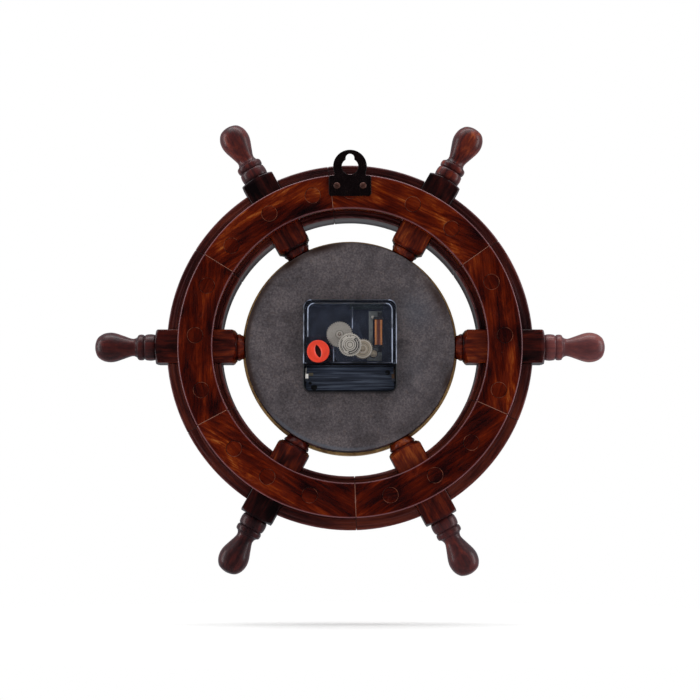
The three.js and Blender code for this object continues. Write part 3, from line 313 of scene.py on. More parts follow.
def combine(piece, others, operation="DIFFERENCE"):
    """Cuts, or joins, the other pieces out of or onto a piece, and removes them."""
    for other in others:
        modifier = piece.modifiers.new("combine", "BOOLEAN")
        modifier.operation = operation
        modifier.solver = "EXACT"
        modifier.object = other
    apply_modifiers(piece)
    for other in others:
        bpy.data.objects.remove(other)


def bevel(piece, width, angle=50):
    modifier = piece.modifiers.new("bevel", "BEVEL")
    modifier.width = width * MM
    modifier.segments = 1
    modifier.limit_method = "ANGLE"
    modifier.angle_limit = math.radians(angle)
    modifier.harden_normals = False
    apply_modifiers(piece)


def merge(name, pieces):
    """One object from several."""
    work = bmesh.new()
    for piece in pieces:
        work.from_mesh(piece.data)
        bpy.data.objects.remove(piece)
    mesh = bpy.data.meshes.new(name)
    work.to_mesh(mesh)
    work.free()
    shade(mesh)
    return add_object(name, mesh)


def spin(piece, angle, pivot=CENTRE):
    """Turns a piece in the dial's plane, from +X towards +Z."""
    turn = Matrix.Rotation(-math.radians(angle), 4, "Y")
    piece.data.transform(Matrix.Translation(pivot) @ turn @ Matrix.Translation(-pivot))
    return piece


def paint(piece, **fields):
    """Writes each field's value(point) for every vertex, with the point in the wheel's millimetres."""
    for name, value in fields.items():
        kind, key = ("FLOAT_VECTOR", "vector") if name == "grain" else ("FLOAT", "value")
        field = piece.data.attributes.new(name, kind, "POINT")
        for vertex, entry in zip(piece.data.vertices, field.data):
            setattr(entry, key, value((vertex.co - CENTRE) / MM))


def finish(piece, look, body="clock_body", replaces=None):
    """Gives a piece its material, the one named like the look, and its body."""
    piece.data.materials.clear()
    piece.data.materials.append(LOOKS[look])
    if replaces:
        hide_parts(replaces)
    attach(piece, body)


# Materials, by name
LOOKS = {}


class Net:
    """Short names for building a tree of nodes."""

    def __init__(self, tree):
        self.tree = tree

    def node(self, kind, inputs=None, **settings):
        node = self.tree.nodes.new("ShaderNode" + kind)
        for key, value in settings.items():
            setattr(node, key, value)
        for key, value in (inputs or {}).items():
            self.put(node.inputs[key], value)
        return node

    def put(self, socket, value):
        if isinstance(value, bpy.types.NodeSocket):
            self.tree.links.new(value, socket)
        else:
            socket.default_value = value

    def set(self, **inputs):
        for key, value in inputs.items():
            self.put(self.shader.inputs[key.replace("_", " ")], value)

    def math(self, operation, first, second=0.0, clamp=False):
        return self.node("Math", {0: first, 1: second}, operation=operation, use_clamp=clamp).outputs[0]

    def add(self, value, layer, amount):
        """The value and an amount of a layer."""
        return self.math("ADD", value, self.math("MULTIPLY", layer, amount))

    def weigh(self, first, share, second):
        """A share of the first, and the rest from the second."""
        return self.add(self.math("MULTIPLY", first, share), second, 1 - share)

    def above(self, value, level, gain):
        """How far a value is above a level, times gain, from 0 to 1."""
        return self.math("MULTIPLY", self.math("SUBTRACT", value, level, True), gain, True)

    def spread(self, value, start, end, first=0.0, last=1.0):
        """First to last where the value runs from start to end."""
        return self.node("MapRange", {0: value, 1: start, 2: end, 3: first, 4: last}).outputs[0]

    def noise(self, vector, size, detail=3.0, distortion=0.0, roughness=0.5):
        """Noise from 0 to 1 whose spots are about size long, in the vector's units."""
        scaled = self.node("Mapping", {"Vector": vector, "Scale": tuple(1 / s for s in size)})
        node = self.node("TexNoise", {
            "Vector": scaled.outputs[0], "Scale": 1.0, "Detail": detail, "Distortion": distortion,
            "Roughness": roughness})
        return node.outputs["Fac"]

    def ramp(self, factor, stops):
        node = self.node("ValToRGB", {"Fac": factor})
        band = node.color_ramp
        while len(band.elements) < len(stops):
            band.elements.new(0.5)
        for element, (position, color) in zip(band.elements, stops):
            element.position = position
            element.color = color
        return node.outputs["Color"]

    def mix(self, factor, first, second):
        return self.node("Mix", {0: factor, 6: first, 7: second}, data_type="RGBA").outputs[2]

    def bump(self, height, distance, strength=0.5):
        node = self.node("Bump", {"Height": height, "Distance": distance, "Strength": strength})
        self.put(self.shader.inputs["Normal"], node.outputs[0])

    def place(self):
        """The point in millimetres, fixed to the piece."""
        point = self.node("TexCoord").outputs["Object"]
        return self.node("VectorMath", {0: point, 1: (1000.0,) * 3}, operation="MULTIPLY").outputs[0]

    def attribute(self, name, output="Fac"):
        return self.node("Attribute", attribute_name=name).outputs[output]


def new_look(name):
    """A material's net, whose material is kept under its name."""
    material = bpy.data.materials.new(name)
    material.use_nodes = True
    LOOKS[name] = material
    net = Net(material.node_tree)
    net.shader = net.tree.nodes["Principled BSDF"]
    return net


WOOD_STOPS = (
    (0.0, srgb(12, 2, 4)), (0.25, srgb(34, 4, 4)), (0.5, srgb(64, 9, 0)),
    (0.72, srgb(92, 22, 0)), (0.88, srgb(122, 46, 4)), (1.0, srgb(152, 84, 34)))
BAND_STOPS = ((0.0, srgb(14, 4, 6)), (0.3, srgb(38, 8, 9)), (0.6, srgb(60, 14, 10)), (1.0, srgb(98, 36, 18)))
SPOKE_STOPS = (
    (0.0, srgb(12, 2, 5)), (0.3, srgb(40, 6, 6)), (0.55, srgb(70, 13, 5)), (0.8, srgb(108, 32, 3)),
    (1.0, srgb(146, 66, 18)))


def make_wood(name, stops=WOOD_STOPS, gloss=0.14, blotch=1.3, streak=0.9, coat=0.2, scratch=0.0):
    """Stained wood under a clear coat.

    Its pieces carry a grain, in millimetres along, across and deep, a tone, and an amount of painted sheen.
    """
    net = new_look(name)
    grain = net.attribute("grain", "Vector")
    cloud = net.noise(grain, (30, 9, 9), 4.0, 0.9, 0.6)
    lines = net.noise(grain, (26, 1.5, 1.5), 4.0, 0.3, 0.62)
    pores = net.noise(grain, (4, 0.4, 0.5), 2.0)
    value = net.attribute("tone")
    for layer, amount in ((cloud, blotch), (lines, streak), (pores, 0.35)):
        value = net.add(value, net.math("SUBTRACT", layer, 0.5), amount)
    # Painted sheen: a pale lavender mixed in where the mesh asks, for light caught by edges and grips
    sheen_share = net.math("MULTIPLY", net.attribute("bloom"), net.math("ADD", cloud, 0.5), True)
    color = net.mix(sheen_share, net.ramp(value, stops), srgb(112, 70, 74))
    worn = net.noise(grain, (9, 6, 6), 4.0, 0.3)
    if scratch:
        lines = net.noise(grain, (60, 0.22, 0.22), 2.0)
        color = net.mix(net.above(lines, 0.57, scratch), color, srgb(132, 96, 100))
    net.set(Base_Color=color, Roughness=net.add(gloss, worn, 0.2))
    net.set(Coat_Weight=coat, Coat_Roughness=0.08, Specular_IOR_Level=0.22)
    net.bump(net.weigh(cloud, 0.6, lines), 0.00012)


def make_plastic(name, color, roughness, specks=0.08, bump=0.00003, coat=0.0, alpha=1.0):
    """Moulded plastic with faint clouds and a fine texture."""
    net = new_look(name)
    cloud = net.noise(net.place(), (6, 6, 6), 3.0)
    fine = net.noise(net.place(), (0.5, 0.5, 0.5), 2.0)
    contrast = specks * 2.2
    light = tuple(min(c * (1 + contrast) + specks * 0.004, 1.0) for c in color[:3]) + (1.0,)
    stops = ((0.3, dimmed(color, 1 - contrast)), (0.7, light))
    net.set(Base_Color=net.ramp(net.weigh(cloud, 0.7, fine), stops))
    net.set(Roughness=net.add(roughness, fine, 0.12), Alpha=alpha, Coat_Weight=coat)
    net.bump(fine, bump, 0.6)


def make_metal(name, color, roughness, tarnish, metallic=1.0, grain=(0.25, 0.25, 4)):
    """Metal with fine working marks and a tarnish in soft patches."""
    net = new_look(name)
    marks = net.noise(net.place(), grain, 3.0)
    patches = net.noise(net.place(), (9, 9, 9), 4.0, 0.6)
    base = net.ramp(marks, ((0.3, dimmed(color, 0.82)), (0.7, color)))
    net.set(Base_Color=net.mix(net.above(patches, 0.42, 3.0), base, tarnish), Metallic=metallic)
    net.set(Roughness=net.add(roughness, patches, 0.25))
    net.bump(marks, 0.00002)


def make_lacquer(name, color, scratch_color, roughness):
    """Black lacquer on steel, with fine scratches and rubbed spots."""
    net = new_look(name)
    cloud = net.noise(net.place(), (5, 5, 5), 4.0, 0.5)
    fine = net.noise(net.place(), (0.16, 1.0, 5.0), 2.0, 0.3)
    base = net.ramp(cloud, ((0.3, dimmed(color, 0.6)), (0.75, color)))
    net.set(Base_Color=net.mix(net.above(fine, 0.66, 6.0), base, scratch_color))
    net.set(Roughness=net.add(roughness, cloud, 0.2), Specular_IOR_Level=0.3)
    net.bump(cloud, 0.00008, 0.4)


def make_board():
    """Grey fibreboard with brown specks; its mesh carries amounts of brown, of bluish grey and of painted
    shade.
    """
    net = new_look("board_grey")
    flecks = net.noise(net.place(), (1.0, 1.0, 1.0), 4.0, 0.2, 0.7)
    cloud = net.noise(net.place(), (14, 14, 14), 4.0, 0.7)
    dust = net.noise(net.place(), (2.2, 2.2, 2.2), 5.0, 0.4, 0.7)
    base = net.ramp(net.weigh(flecks, 0.65, cloud),
                    ((0.34, srgb(58, 52, 55)), (0.5, srgb(89, 82, 86)), (0.68, srgb(124, 114, 115))))
    base = net.mix(net.math("MULTIPLY", net.above(dust, 0.55, 3.5), 0.55), base, srgb(104, 80, 62))
    for stain, color in (("brown", srgb(52, 28, 16)), ("blue_and_lit_edge", srgb(92, 102, 116)),
                         ("shade", srgb(36, 32, 38))):
        base = net.mix(net.attribute(stain), base, color)
    net.set(Base_Color=base, Roughness=0.62, Specular_IOR_Level=0.3)
    net.bump(flecks, 0.00006)


def make_streaks(name, colors):
    """Moulded plastic with long flow marks along X."""
    net = new_look(name)
    marks = net.noise(net.place(), (26, 2, 1.1), 3.0, 0.4)
    net.set(Base_Color=net.ramp(marks, tuple(zip((0.34, 0.52, 0.68), colors))), Roughness=0.3)
    net.bump(marks, 0.00003)


def make_glint(name, dark, light, roughness):
    """Painted highlight on a moulding's edge: a light colour in patches along most of its length, for the
    light it catches.
    """
    net = new_look(name)
    patches = net.noise(net.place(), (7, 7, 7), 3.0, 0.4)
    net.set(Base_Color=net.ramp(patches, ((0.36, dark), (0.6, light))), Roughness=roughness)


def make_contact(name, color):
    """Sprung strip, bright over a band in the cell's bay and a dark bluish grey above and below it."""
    net = new_look(name)
    height = net.node("SeparateXYZ", {0: net.place()}).outputs["Z"]
    bay_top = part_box("movement_cover")[0].z / MM
    above = net.spread(height, bay_top - 2.6, bay_top - 2.2)
    below = net.spread(height, bay_top - 8.8, bay_top - 9.2)
    fine = net.noise(net.place(), (0.3, 0.3, 3), 3.0)
    bright = net.ramp(fine, ((0.3, dimmed(color, 0.8)), (0.7, color)))
    net.set(Base_Color=net.mix(net.math("MAXIMUM", above, below), bright, srgb(44, 48, 58)))
    net.set(Metallic=0.2, Roughness=0.3)
    net.bump(fine, 0.00002, 0.4)


def make_glue_ring():
    """Glue round the plugs, pale in places and stained in others."""
    net = new_look("glue_ring")
    patches = net.noise(net.place(), (5, 5, 5), 2.0)
    net.set(Base_Color=net.ramp(patches, ((0.42, srgb(34, 8, 6)), (0.6, srgb(142, 76, 50)))), Roughness=0.4)


def make_copper():
    """Enamelled wire; its mesh says where painted shade darkens the middle of the winding."""
    net = new_look("copper")
    fine = net.noise(net.place(), (0.5, 0.5, 0.25), 3.0)
    wire = net.ramp(fine, ((0.3, srgb(255, 140, 70)), (0.7, srgb(255, 184, 110))))
    net.set(Base_Color=net.mix(net.attribute("varnish"), wire, srgb(122, 66, 50)), Metallic=0.1,
            Roughness=0.35)
    net.bump(fine, 0.00003)


def make_glass():
    net = new_look("clear_glass")
    smear = net.noise(net.place(), (30, 30, 30), 3.0, 0.5)
    net.set(Base_Color=net.ramp(smear, ((0.3, srgb(214, 226, 228)), (0.7, srgb(232, 240, 240)))))
    net.set(Roughness=net.math("MULTIPLY", smear, 0.06), Alpha=0.1, Specular_IOR_Level=0.6)


TEXTURE = 0.00003
SMOOTH = 0.00001
TURNED_GRAIN = (3, 0.3, 3)
# Name, colour, roughness, then specks, depth of the texture, coat and alpha where they aren't the usual ones
PLASTICS = (
    ("glue_line", (150, 98, 78), 0.6), ("glue_dark", (44, 18, 16), 0.6),
    ("dial_cream", (236, 228, 206), 0.5, 0.02), ("dial_black", (22, 21, 22), 0.4),
    ("hand_black", (20, 20, 22), 0.2, 0.08, TEXTURE, 0.4), ("hand_red", (190, 30, 22), 0.3),
    ("wheel_plastic", (196, 190, 180), 0.45), ("wheel_pale", (236, 229, 217), 0.4, 0.06),
    ("wheel_warm", (196, 182, 160), 0.42), ("wheel_rust", (120, 84, 60), 0.5),
    ("wheel_marks", (22, 18, 16), 0.5), ("wheel_grooves", (122, 116, 106), 0.5),
    ("knob_red", (236, 60, 32), 0.32, 0.05, TEXTURE, 0.2), ("knob_slot", (40, 2, 3), 0.6),
    ("movement_plastic", (10, 11, 16), 0.14, 0.12, SMOOTH, 0.2),
    ("case_deep", (30, 31, 38), 0.4, 0.2, SMOOTH),
    ("case_floor", (58, 66, 86), 0.35, 0.2, SMOOTH), ("bobbin_plastic", (50, 50, 52), 0.45),
    ("smoky_plastic", (52, 56, 70), 0.08, 0.1, 0.000004, 0.0, 0.15), ("circuit_board", (36, 50, 52), 0.45))
# Painted highlights on the mouldings' edges: name, dark and light colour, and roughness
GLINTS = (
    ("case_edge_highlight", (8, 9, 12), (26, 27, 32), 0.6), ("flange_highlight", (34, 38, 46), (150, 160, 182), 0.35),
    ("cover_highlight", (44, 50, 64), (158, 170, 196), 0.3), ("recess_highlight", (26, 28, 36), (84, 88, 104), 0.4),
    ("top_highlight", (14, 15, 19), (52, 56, 68), 0.5))
# Name, colour, roughness, tarnish, how metallic, and the marks' size where it isn't the usual one
METALS = (
    ("brass", (232, 192, 108), 0.26, (178, 134, 70), 1.0, TURNED_GRAIN),
    ("brass_edge", (228, 182, 118), 0.4, (140, 98, 60), 0.2, TURNED_GRAIN),
    ("plated_steel", (240, 236, 228), 0.3, (170, 158, 134), 0.2),
    ("spring_leaf", (126, 118, 100), 0.35, (70, 60, 46), 0.3),
    ("lamination", (150, 156, 156), 0.4, (74, 74, 74), 0.3),
    ("screw_bronze", (92, 54, 44), 0.35, (44, 22, 18), 0.4))


def make_looks():
    make_wood("rim_wood")
    make_wood("band_wood", BAND_STOPS, gloss=0.22, blotch=0.9, streak=1.2, coat=0.15, scratch=2.4)
    make_wood("spoke_wood", SPOKE_STOPS, gloss=0.26, blotch=1.5, coat=0.1)
    make_wood("dowel_end_grain", blotch=1.2, streak=0.5)
    make_wood("hub_wood", SPOKE_STOPS, gloss=0.4, coat=0.1)
    for name, color, *rest in PLASTICS:
        make_plastic(name, srgb(*color), *rest)
    for name, dark, light, roughness in GLINTS:
        make_glint(name, srgb(*dark), srgb(*light), roughness)
    for name, color, roughness, tarnish, *rest in METALS:
        make_metal(name, srgb(*color), roughness, srgb(*tarnish), *rest)
    make_contact("contact", srgb(246, 242, 236))
    make_contact("contact_dull", srgb(74, 56, 42))
    make_streaks("bay_plastic", (srgb(46, 52, 68), srgb(68, 77, 98), srgb(112, 124, 146)))
    make_lacquer("hanger_steel", srgb(18, 8, 10), srgb(86, 62, 56), 0.16)
    make_board()
    make_glue_ring()
    make_copper()
    make_glass()


# Rim
# Tone of each felloe, then patches of stain: angle, radius, their half widths and how much lighter or darker
BACK_TONES = {1: 0.54, 2: 0.58, 3: 0.62, 4: 0.6, 5: 0.5, 6: 0.58}
BACK_STAINS = (
    (44, 97, 12, 6, 0.16), (70, 95, 9, 7, 0.14), (72, 84, 9, 3.5, -0.4), (58, 88, 7, 5, -0.16),
    (97, 88, 6, 6, 0.34), (102, 84, 12, 3, -0.22), (109, 90, 9, 7, 0.12), (140, 84, 6, 5, 0.1),
    (141, 99, 5, 4, -0.3), (176, 91, 5, 9, -0.42), (190, 97, 11, 6, 0.08), (187, 84, 12, 4, -0.12),
    (226, 90, 12, 5, -0.2), (240, 88, 7, 5, 0.18), (252, 90, 5, 8, -0.3), (258, 99, 8, 3, 0.22),
    (285, 88, 12, 6, -0.22), (292, 98, 9, 4, 0.14), (318, 98, 10, 4, 0.2), (330, 93, 9, 6, 0.08),
    (352, 96, 9, 5, -0.14), (10, 84, 11, 3, -0.18), (24, 98, 8, 4, 0.1), (105, 93, 7, 6, -0.16),
    (79, 90, 6, 6, 0.2), (45, 90, 5, 5, -0.22), (333, 91, 6, 5, -0.16), (177, 100, 16, 2.5, -0.3),
    (200, 84, 14, 2.5, -0.2), (270, 84, 16, 2.5, -0.2), (240, 100, 10, 2.5, -0.2), (249, 91, 5, 6, 0.2),
    (225, 91, 5, 6, 0.16), (237, 92, 4, 6, -0.12), (261, 92, 5, 6, -0.12))
# The wide ring's patches reach across it: angle, half width and how much lighter or darker
BAND_STAINS = [(angle, 0, width, math.inf, amount) for angle, width, amount in (
    (175, 10, -0.3), (90, 16, -0.1), (55, 14, 0.3), (150, 14, 0.1), (355, 14, 0.25), (325, 14, 0.24),
    (297, 8, -0.12), (265, 16, 0.3), (235, 14, 0.34), (205, 14, 0.28))]
PLAIN_TONE = 0.5
# Amounts of painted sheen on the rims' rounded edges, for the light they catch
BACK_EDGE_SHEEN = 0.9
BAND_EDGE_SHEEN = 0.5
SECTION_STEPS = 9  # points across a felloe's wall side
CORNER_STEPS = 3
GROOVE = ((-0.45, 0.0), (-0.2, 0.45), (0.2, 0.45), (0.45, 0.0))  # beside its middle, and depth
GROOVE_ROOM = 0.8
GROOVE_INSET = 2.1
END_CHAMFER = 0.25
JOINT_SLACK = 0.09  # degrees
HOLE_CLEARANCE = 0.14
HOLE_FLARE = 0.05
PLUG_GAP = 0.28
GLUE_GAP = 0.02
PLUG_ANGLES = (3.5, 58.5, 114, 176.5, 237, 302)
PLUG_LENGTH = 4.0

JOINTS = {number: joint_angles(f"rim_back_felloe_{number}") for number in range(1, 7)}
SPOKES = {number: heading(corners(f"spoke_{number}")) for number in range(1, 7)}
DOWELS = {number: middle(f"rim_dowel_{number}") for number in range(1, 13)}
BLOCK_HALF = 10.0
SPOKE_LOW, SPOKE_HIGH = extent("spoke_1")
SPOKE_AXIS = (SPOKE_LOW.y + SPOKE_HIGH.y) / 2


def stains(point, patches):
    """Sum of soft patches: angle, radius, their half widths and amount."""
    radius, angle = math.hypot(point.x, point.z), angle_of(point)
    return sum(amount * math.exp(-(turn_from(centre, angle) / width) ** 2 - ((radius - reach) / depth) ** 2)
               for centre, reach, width, depth, amount in patches)


def back_tone(point):
    angle = angle_of(point)
    tones = [BACK_TONES[n] for n, (start, end) in JOINTS.items() if (angle - start) % 360 <= end - start]
    return (tones or [PLAIN_TONE])[0] + stains(point, BACK_STAINS)


def band_tone(point):
    return PLAIN_TONE + stains(point, BAND_STAINS)


def edge_wear(size, amount):
    """Painted sheen on the rounded edges on the wall side: a pale colour that stands for the light they
    catch.
    """
    def value(point):
        radius = math.hypot(point.x, point.z)
        from_edge = max(min(abs(radius - size.outer), abs(radius - size.inner)), size.back - point.y)
        return amount if from_edge < EDGE_ROUND * 0.6 else 0.0
    return value


def chord_grain(angle, seed):
    """Grain that runs along a felloe's chord, as it is cut from a straight board."""
    out = polar(1, angle)
    along = polar(1, angle + 90)
    return lambda p: (p.dot(along) + seed * 211, p.dot(out) + seed * 53, p.y + seed * 17)


def arc_grain(seed):
    """Grain coordinates that follow the rim, for the turned marks of the wide ring."""
    return lambda p: (math.radians(angle_of(p)) * 100 + seed * 211, math.hypot(p.x, p.z) + seed * 53,
                      p.y + seed * 17)


def ring_section(size, edge, grooves=()):
    """Closed section of a rim ring, with round corners and points across its wall side."""
    low, high = size.inner + edge, size.outer - edge
    across = [high - (high - low) * i / SECTION_STEPS for i in range(1, SECTION_STEPS)]
    points = [(r, size.back) for r in across if all(abs(r - groove) > GROOVE_ROOM for groove in grooves)]
    points += [(groove + side, size.back - depth) for groove in grooves for side, depth in GROOVE]
    front, back = size.front + edge, size.back - edge
    return [*quarter(high, front, edge, -90, CORNER_STEPS), *quarter(high, back, edge, 0, CORNER_STEPS),
            *sorted(points, reverse=True),
            *quarter(low, back, edge, 90, CORNER_STEPS), *quarter(low, front, edge, 180, CORNER_STEPS)]


def arc_piece(name, section, start, end, half_gap):
    """A section swept between two angles, with parallel gaps and small chamfers at both ends."""
    centre = sum((Vector(point) for point in section), Vector((0, 0))) / len(section)
    count = max(2, round((end - start) / ARC_STEP))
    stations = [(i / count, half_gap + END_CHAMFER, 0) for i in range(count + 1)]
    rings = []
    for share, gap, shrink in [(0, half_gap, END_CHAMFER), *stations, (1, half_gap, END_CHAMFER)]:
        ring = []
        for point in section:
            away = Vector(point) - centre
            radius, depth = centre + away * (1 - shrink / away.length)
            margin = math.degrees(math.asin(gap / radius))
            ring.append(polar(radius, start + margin + (end - start - 2 * margin) * share, depth))
        rings.append(ring)
    return loft(name, rings)


def notch(angle, front, back):
    """Room for a spoke's block, with its gap."""
    half = BLOCK_HALF + GAP
    return spin(block("notch", (0, front, -half), (SPOKE_HIGH.x, back, half)), angle)


def flared_hole(place, radius, front, back):
    mouth = radius + HOLE_FLARE * 1.6
    return turned("hole", [(0, front), (radius, front), (radius, back - HOLE_FLARE), (mouth, back + 0.1),
                           (mouth, back + 2), (0, back + 2)], place, ROD_STEPS)


def make_felloe(node, number, dowel, hole_r, pads):
    """One segment of a ring, and the glue in the joint where it starts."""
    at_back = "back" in node
    size = measure(node)
    start, end = joint_angles(node)
    section = ring_section(size, EDGE_ROUND) if at_back else ring_section(
        size, EDGE_ROUND * 1.2, (size.inner + GROOVE_INSET,))
    piece = arc_piece(node + "_wood", section, start - JOINT_SLACK, end + JOINT_SLACK, GAP / 2)
    dowels, plugs = [[place for place in places if (bearing(*place) - start) % 360 < end - start]
                     for places in (DOWELS.values(), pads)]
    cuts = [notch(SPOKES[number], SPOKE_LOW.y - GAP, SPOKE_HIGH.y + GAP)]
    if at_back:
        cuts += [flared_hole(place, hole_r, size.front - 1, size.back) for place in dowels]
        cuts += [flared_hole(place, hole_r, size.back - PLUG_LENGTH - GAP, size.back) for place in plugs]
    else:
        cuts += [rod(hole_r, dowel.front - GAP, size.back + 1, place) for place in dowels]
    combine(piece, cuts)
    if at_back:
        paint(piece, grain=chord_grain((start + end) / 2, number), tone=back_tone,
              bloom=edge_wear(size, BACK_EDGE_SHEEN))
        finish(piece, "rim_wood", replaces=node)
    else:
        paint(piece, grain=arc_grain(number + 7), tone=band_tone, bloom=edge_wear(size, BAND_EDGE_SHEEN))
        finish(piece, "band_wood", replaces=node)
    half = GAP / 2 - GLUE_GAP
    line = block(node + "_glue", (size.inner + EDGE_ROUND, size.front + EDGE_ROUND, -half),
                 (size.outer - EDGE_ROUND, size.back - 0.05, half))
    finish(spin(line, start - JOINT_SLACK), "glue_line" if at_back else "glue_dark")


def make_plug(name, place, radius, front, back, seed, replaces=None):
    """A plug with its end grain; returns the glue round it."""
    plug = turned(name, disc_profile(radius, front, back, HOLE_FLARE), place, ROD_STEPS)
    paint(plug, grain=chord_grain(bearing(*place), seed % 6 + 0.37),
          tone=lambda p: back_tone(p) + 0.05 * (seed % 3 - 1))
    finish(plug, "dowel_end_grain", replaces=replaces)
    inner, outer = radius + GLUE_GAP, radius + PLUG_GAP - GLUE_GAP
    return turned("ring", [(inner, back - 2), (outer, back - 2), (outer, back - 0.06), (inner, back - 0.03)],
                  place, 64)


def make_rim():
    dowel = measure("rim_dowel_1", DOWELS[1])
    hole_r = dowel.outer + HOLE_CLEARANCE
    plug_r = hole_r - PLUG_GAP
    pads = [(p.x, p.z) for p in (polar(math.hypot(*DOWELS[1]), angle) for angle in PLUG_ANGLES)]
    for number in range(1, 7):
        for side in ("back", "front"):
            make_felloe(f"rim_{side}_felloe_{number}", number, dowel, hole_r, pads)
    rings = [make_plug(f"rim_dowel_{number}_pin", place, plug_r, dowel.front, dowel.back, number,
                       f"rim_dowel_{number}") for number, place in DOWELS.items()]
    rings += [make_plug(f"spoke_pin_plug_{number}", place, plug_r, dowel.back - PLUG_LENGTH, dowel.back,
                        number + 20) for number, place in enumerate(pads, 1)]
    finish(merge("plug_glue", rings), "glue_ring")


# Spokes
# Tone of the block inside the rim and outside it, then tone and painted sheen of the grip
SPOKE_LOOKS = {
    1: (0.6, 0.42, 0.36, 0.12), 2: (0.5, 0.2, 0.46, 0.18), 3: (0.6, 0.26, 0.56, 0.08),
    4: (0.7, 0.34, 0.66, 0.5), 5: (0.72, 0.5, 0.42, 0.2), 6: (0.54, 0.26, 0.34, 0.1)}
CORNER_POWER = 22.0
SHOULDER = 2.6
BEAD_EDGE_R = 6.9
NECK_R = 5.3
GRIP_R = 8.9
TENON_R = 3.5
COLLAR = ((0.0, 6.5), (0.3, 6.9), (1.7, 7.3), (1.85, 7.4), (2.7, 7.95), (3.5, 8.15), (4.1, 7.9), (4.4, 7.3))
INNER_SHOULDER = 3.0
BLOCK_STEPS = 22
# Start, length and radius
BIG_BEAD = (115.5, 7.0, 7.95)
SMALL_BEAD = (122.5, 4.0, 7.75)
# Share of the grip's length, and its swell there: 0 is the neck's radius, 1 the grip's
GRIP_SWELL = ((0.0, 0.36), (0.05, 0.08), (0.14, 0.0), (0.33, 0.45), (0.5, 0.86), (0.63, 1.0), (0.76, 0.88),
              (0.86, 0.56), (0.94, 0.06), (0.985, -0.72), (1.0, -1.47))
SIDE_ANGLES = (0, 8, 16, 24, 31, 36, 39, 41, 42.5, 43.8, 45, 46.2, 47.5, 49, 51, 54, 59, 66, 74, 82)
STAINED_GROOVES = (115.5, 122.5, 126.7, 67.3)


def smooth_curve(points, steps):
    """Catmull-Rom curve through points."""
    ends = [points[0], *points, points[-1]]
    curve = []
    for i in range(1, len(ends) - 2):
        a, b, c, d = (Vector(p) for p in ends[i - 1:i + 3])
        for k in range(steps):
            t = k / steps
            curve.append(0.5 * (2 * b + (c - a) * t + (2 * a - 5 * b + 4 * c - d) * t * t
                                + (3 * b - a - 3 * c + d) * t ** 3))
    return curve + [Vector(points[-1])]


def bead_stations(start, length, radius, steps=10):
    shares = [-1 + 2 * i / steps for i in range(steps + 1)]
    swell = radius - BEAD_EDGE_R
    return [(start + length * (1 + t) / 2, BEAD_EDGE_R + swell * math.sqrt(max(0, 1 - t * t)))
            for t in shares]


def spoke_stations(collar_start):
    """Distance from the axis, and the radius there; a third value makes the square block."""
    root, tip = SPOKE_LOW.x, SPOKE_HIGH.x
    outer_end = BIG_BEAD[0]
    stations = [(root, TENON_R - 0.3), (root + 0.5, TENON_R), (collar_start - 0.02, TENON_R)]
    stations += [(collar_start + along, radius) for along, radius in COLLAR]
    inner_end = collar_start + COLLAR[-1][0] + 0.05
    stations += [(inner_end + INNER_SHOULDER * t, 8.7 + 5.4 * (1 - math.cos(t * math.pi / 2)) ** 0.8, True)
                 for t in (i / 8 for i in range(9))]
    block_start = inner_end + INNER_SHOULDER
    length = outer_end - block_start - SHOULDER
    stations += [(block_start + length * i / BLOCK_STEPS, BLOCK_HALF * 2, True)
                 for i in range(BLOCK_STEPS + 1)]
    stations += [(outer_end - SHOULDER * t, BLOCK_HALF + 4.0 * math.sin(t * math.pi / 2), True)
                 for t in (1 - i / 6 for i in range(7))]
    stations += bead_stations(*BIG_BEAD) + bead_stations(*SMALL_BEAD)
    grip_start = SMALL_BEAD[0] + SMALL_BEAD[1]
    shape = [(grip_start + (tip - grip_start) * share, NECK_R + (GRIP_R - NECK_R) * swell)
             for share, swell in GRIP_SWELL]
    return stations + [(p.x, max(p.y, 0.02)) for p in smooth_curve(shape, 5)]


def spoke_ring(along, radius, square=False):
    """Section of a spoke along X: round, or cut to the square block, and clear of the bezel."""
    bezel = measure("brass_bezel")
    ring = []
    for angle in [quadrant * 90 + side for quadrant in range(4) for side in SIDE_ANGLES]:
        c, s = math.cos(math.radians(angle)), math.sin(math.radians(angle))
        reach = radius
        if square:
            corner = (abs(c) ** CORNER_POWER + abs(s) ** CORNER_POWER) ** (1 / CORNER_POWER)
            reach = min(radius, BLOCK_HALF / corner)
        depth = SPOKE_AXIS + reach * c
        if along < bezel.outer + GAP:
            depth = max(depth, bezel.back + GAP)
        ring.append((along, depth, reach * s))
    return ring


def spoke_look(number, point):
    """Tone, and painted sheen for light on the grip; the stain is darker in the turned grooves, where it
    collects.
    """
    inside, outside, grip, bloom = SPOKE_LOOKS[number]
    groove = sum(math.exp(-((point.x - at) / 0.9) ** 2) for at in STAINED_GROOVES)
    at_grip = min(max((point.x - 113) / 6, 0), 1)
    at_outside = min(max((point.x - 85) / 12, 0), 1)
    block_tone = inside + (outside - inside) * at_outside
    return block_tone + (grip - block_tone) * at_grip - 0.25 * min(groove, 1), bloom * at_grip


def make_spokes():
    rings = [spoke_ring(*station) for station in spoke_stations(measure("hub_body").outer + GAP)]
    for number, angle in SPOKES.items():
        piece = loft(f"spoke_{number}_wood", rings, angle=42)
        paint(piece, grain=lambda p: (p.x + number * 211, p.z + number * 37, p.y + number * 19),
              tone=lambda p: spoke_look(number, p)[0], bloom=lambda p: spoke_look(number, p)[1])
        finish(spin(piece, angle), "spoke_wood", replaces=f"spoke_{number}")
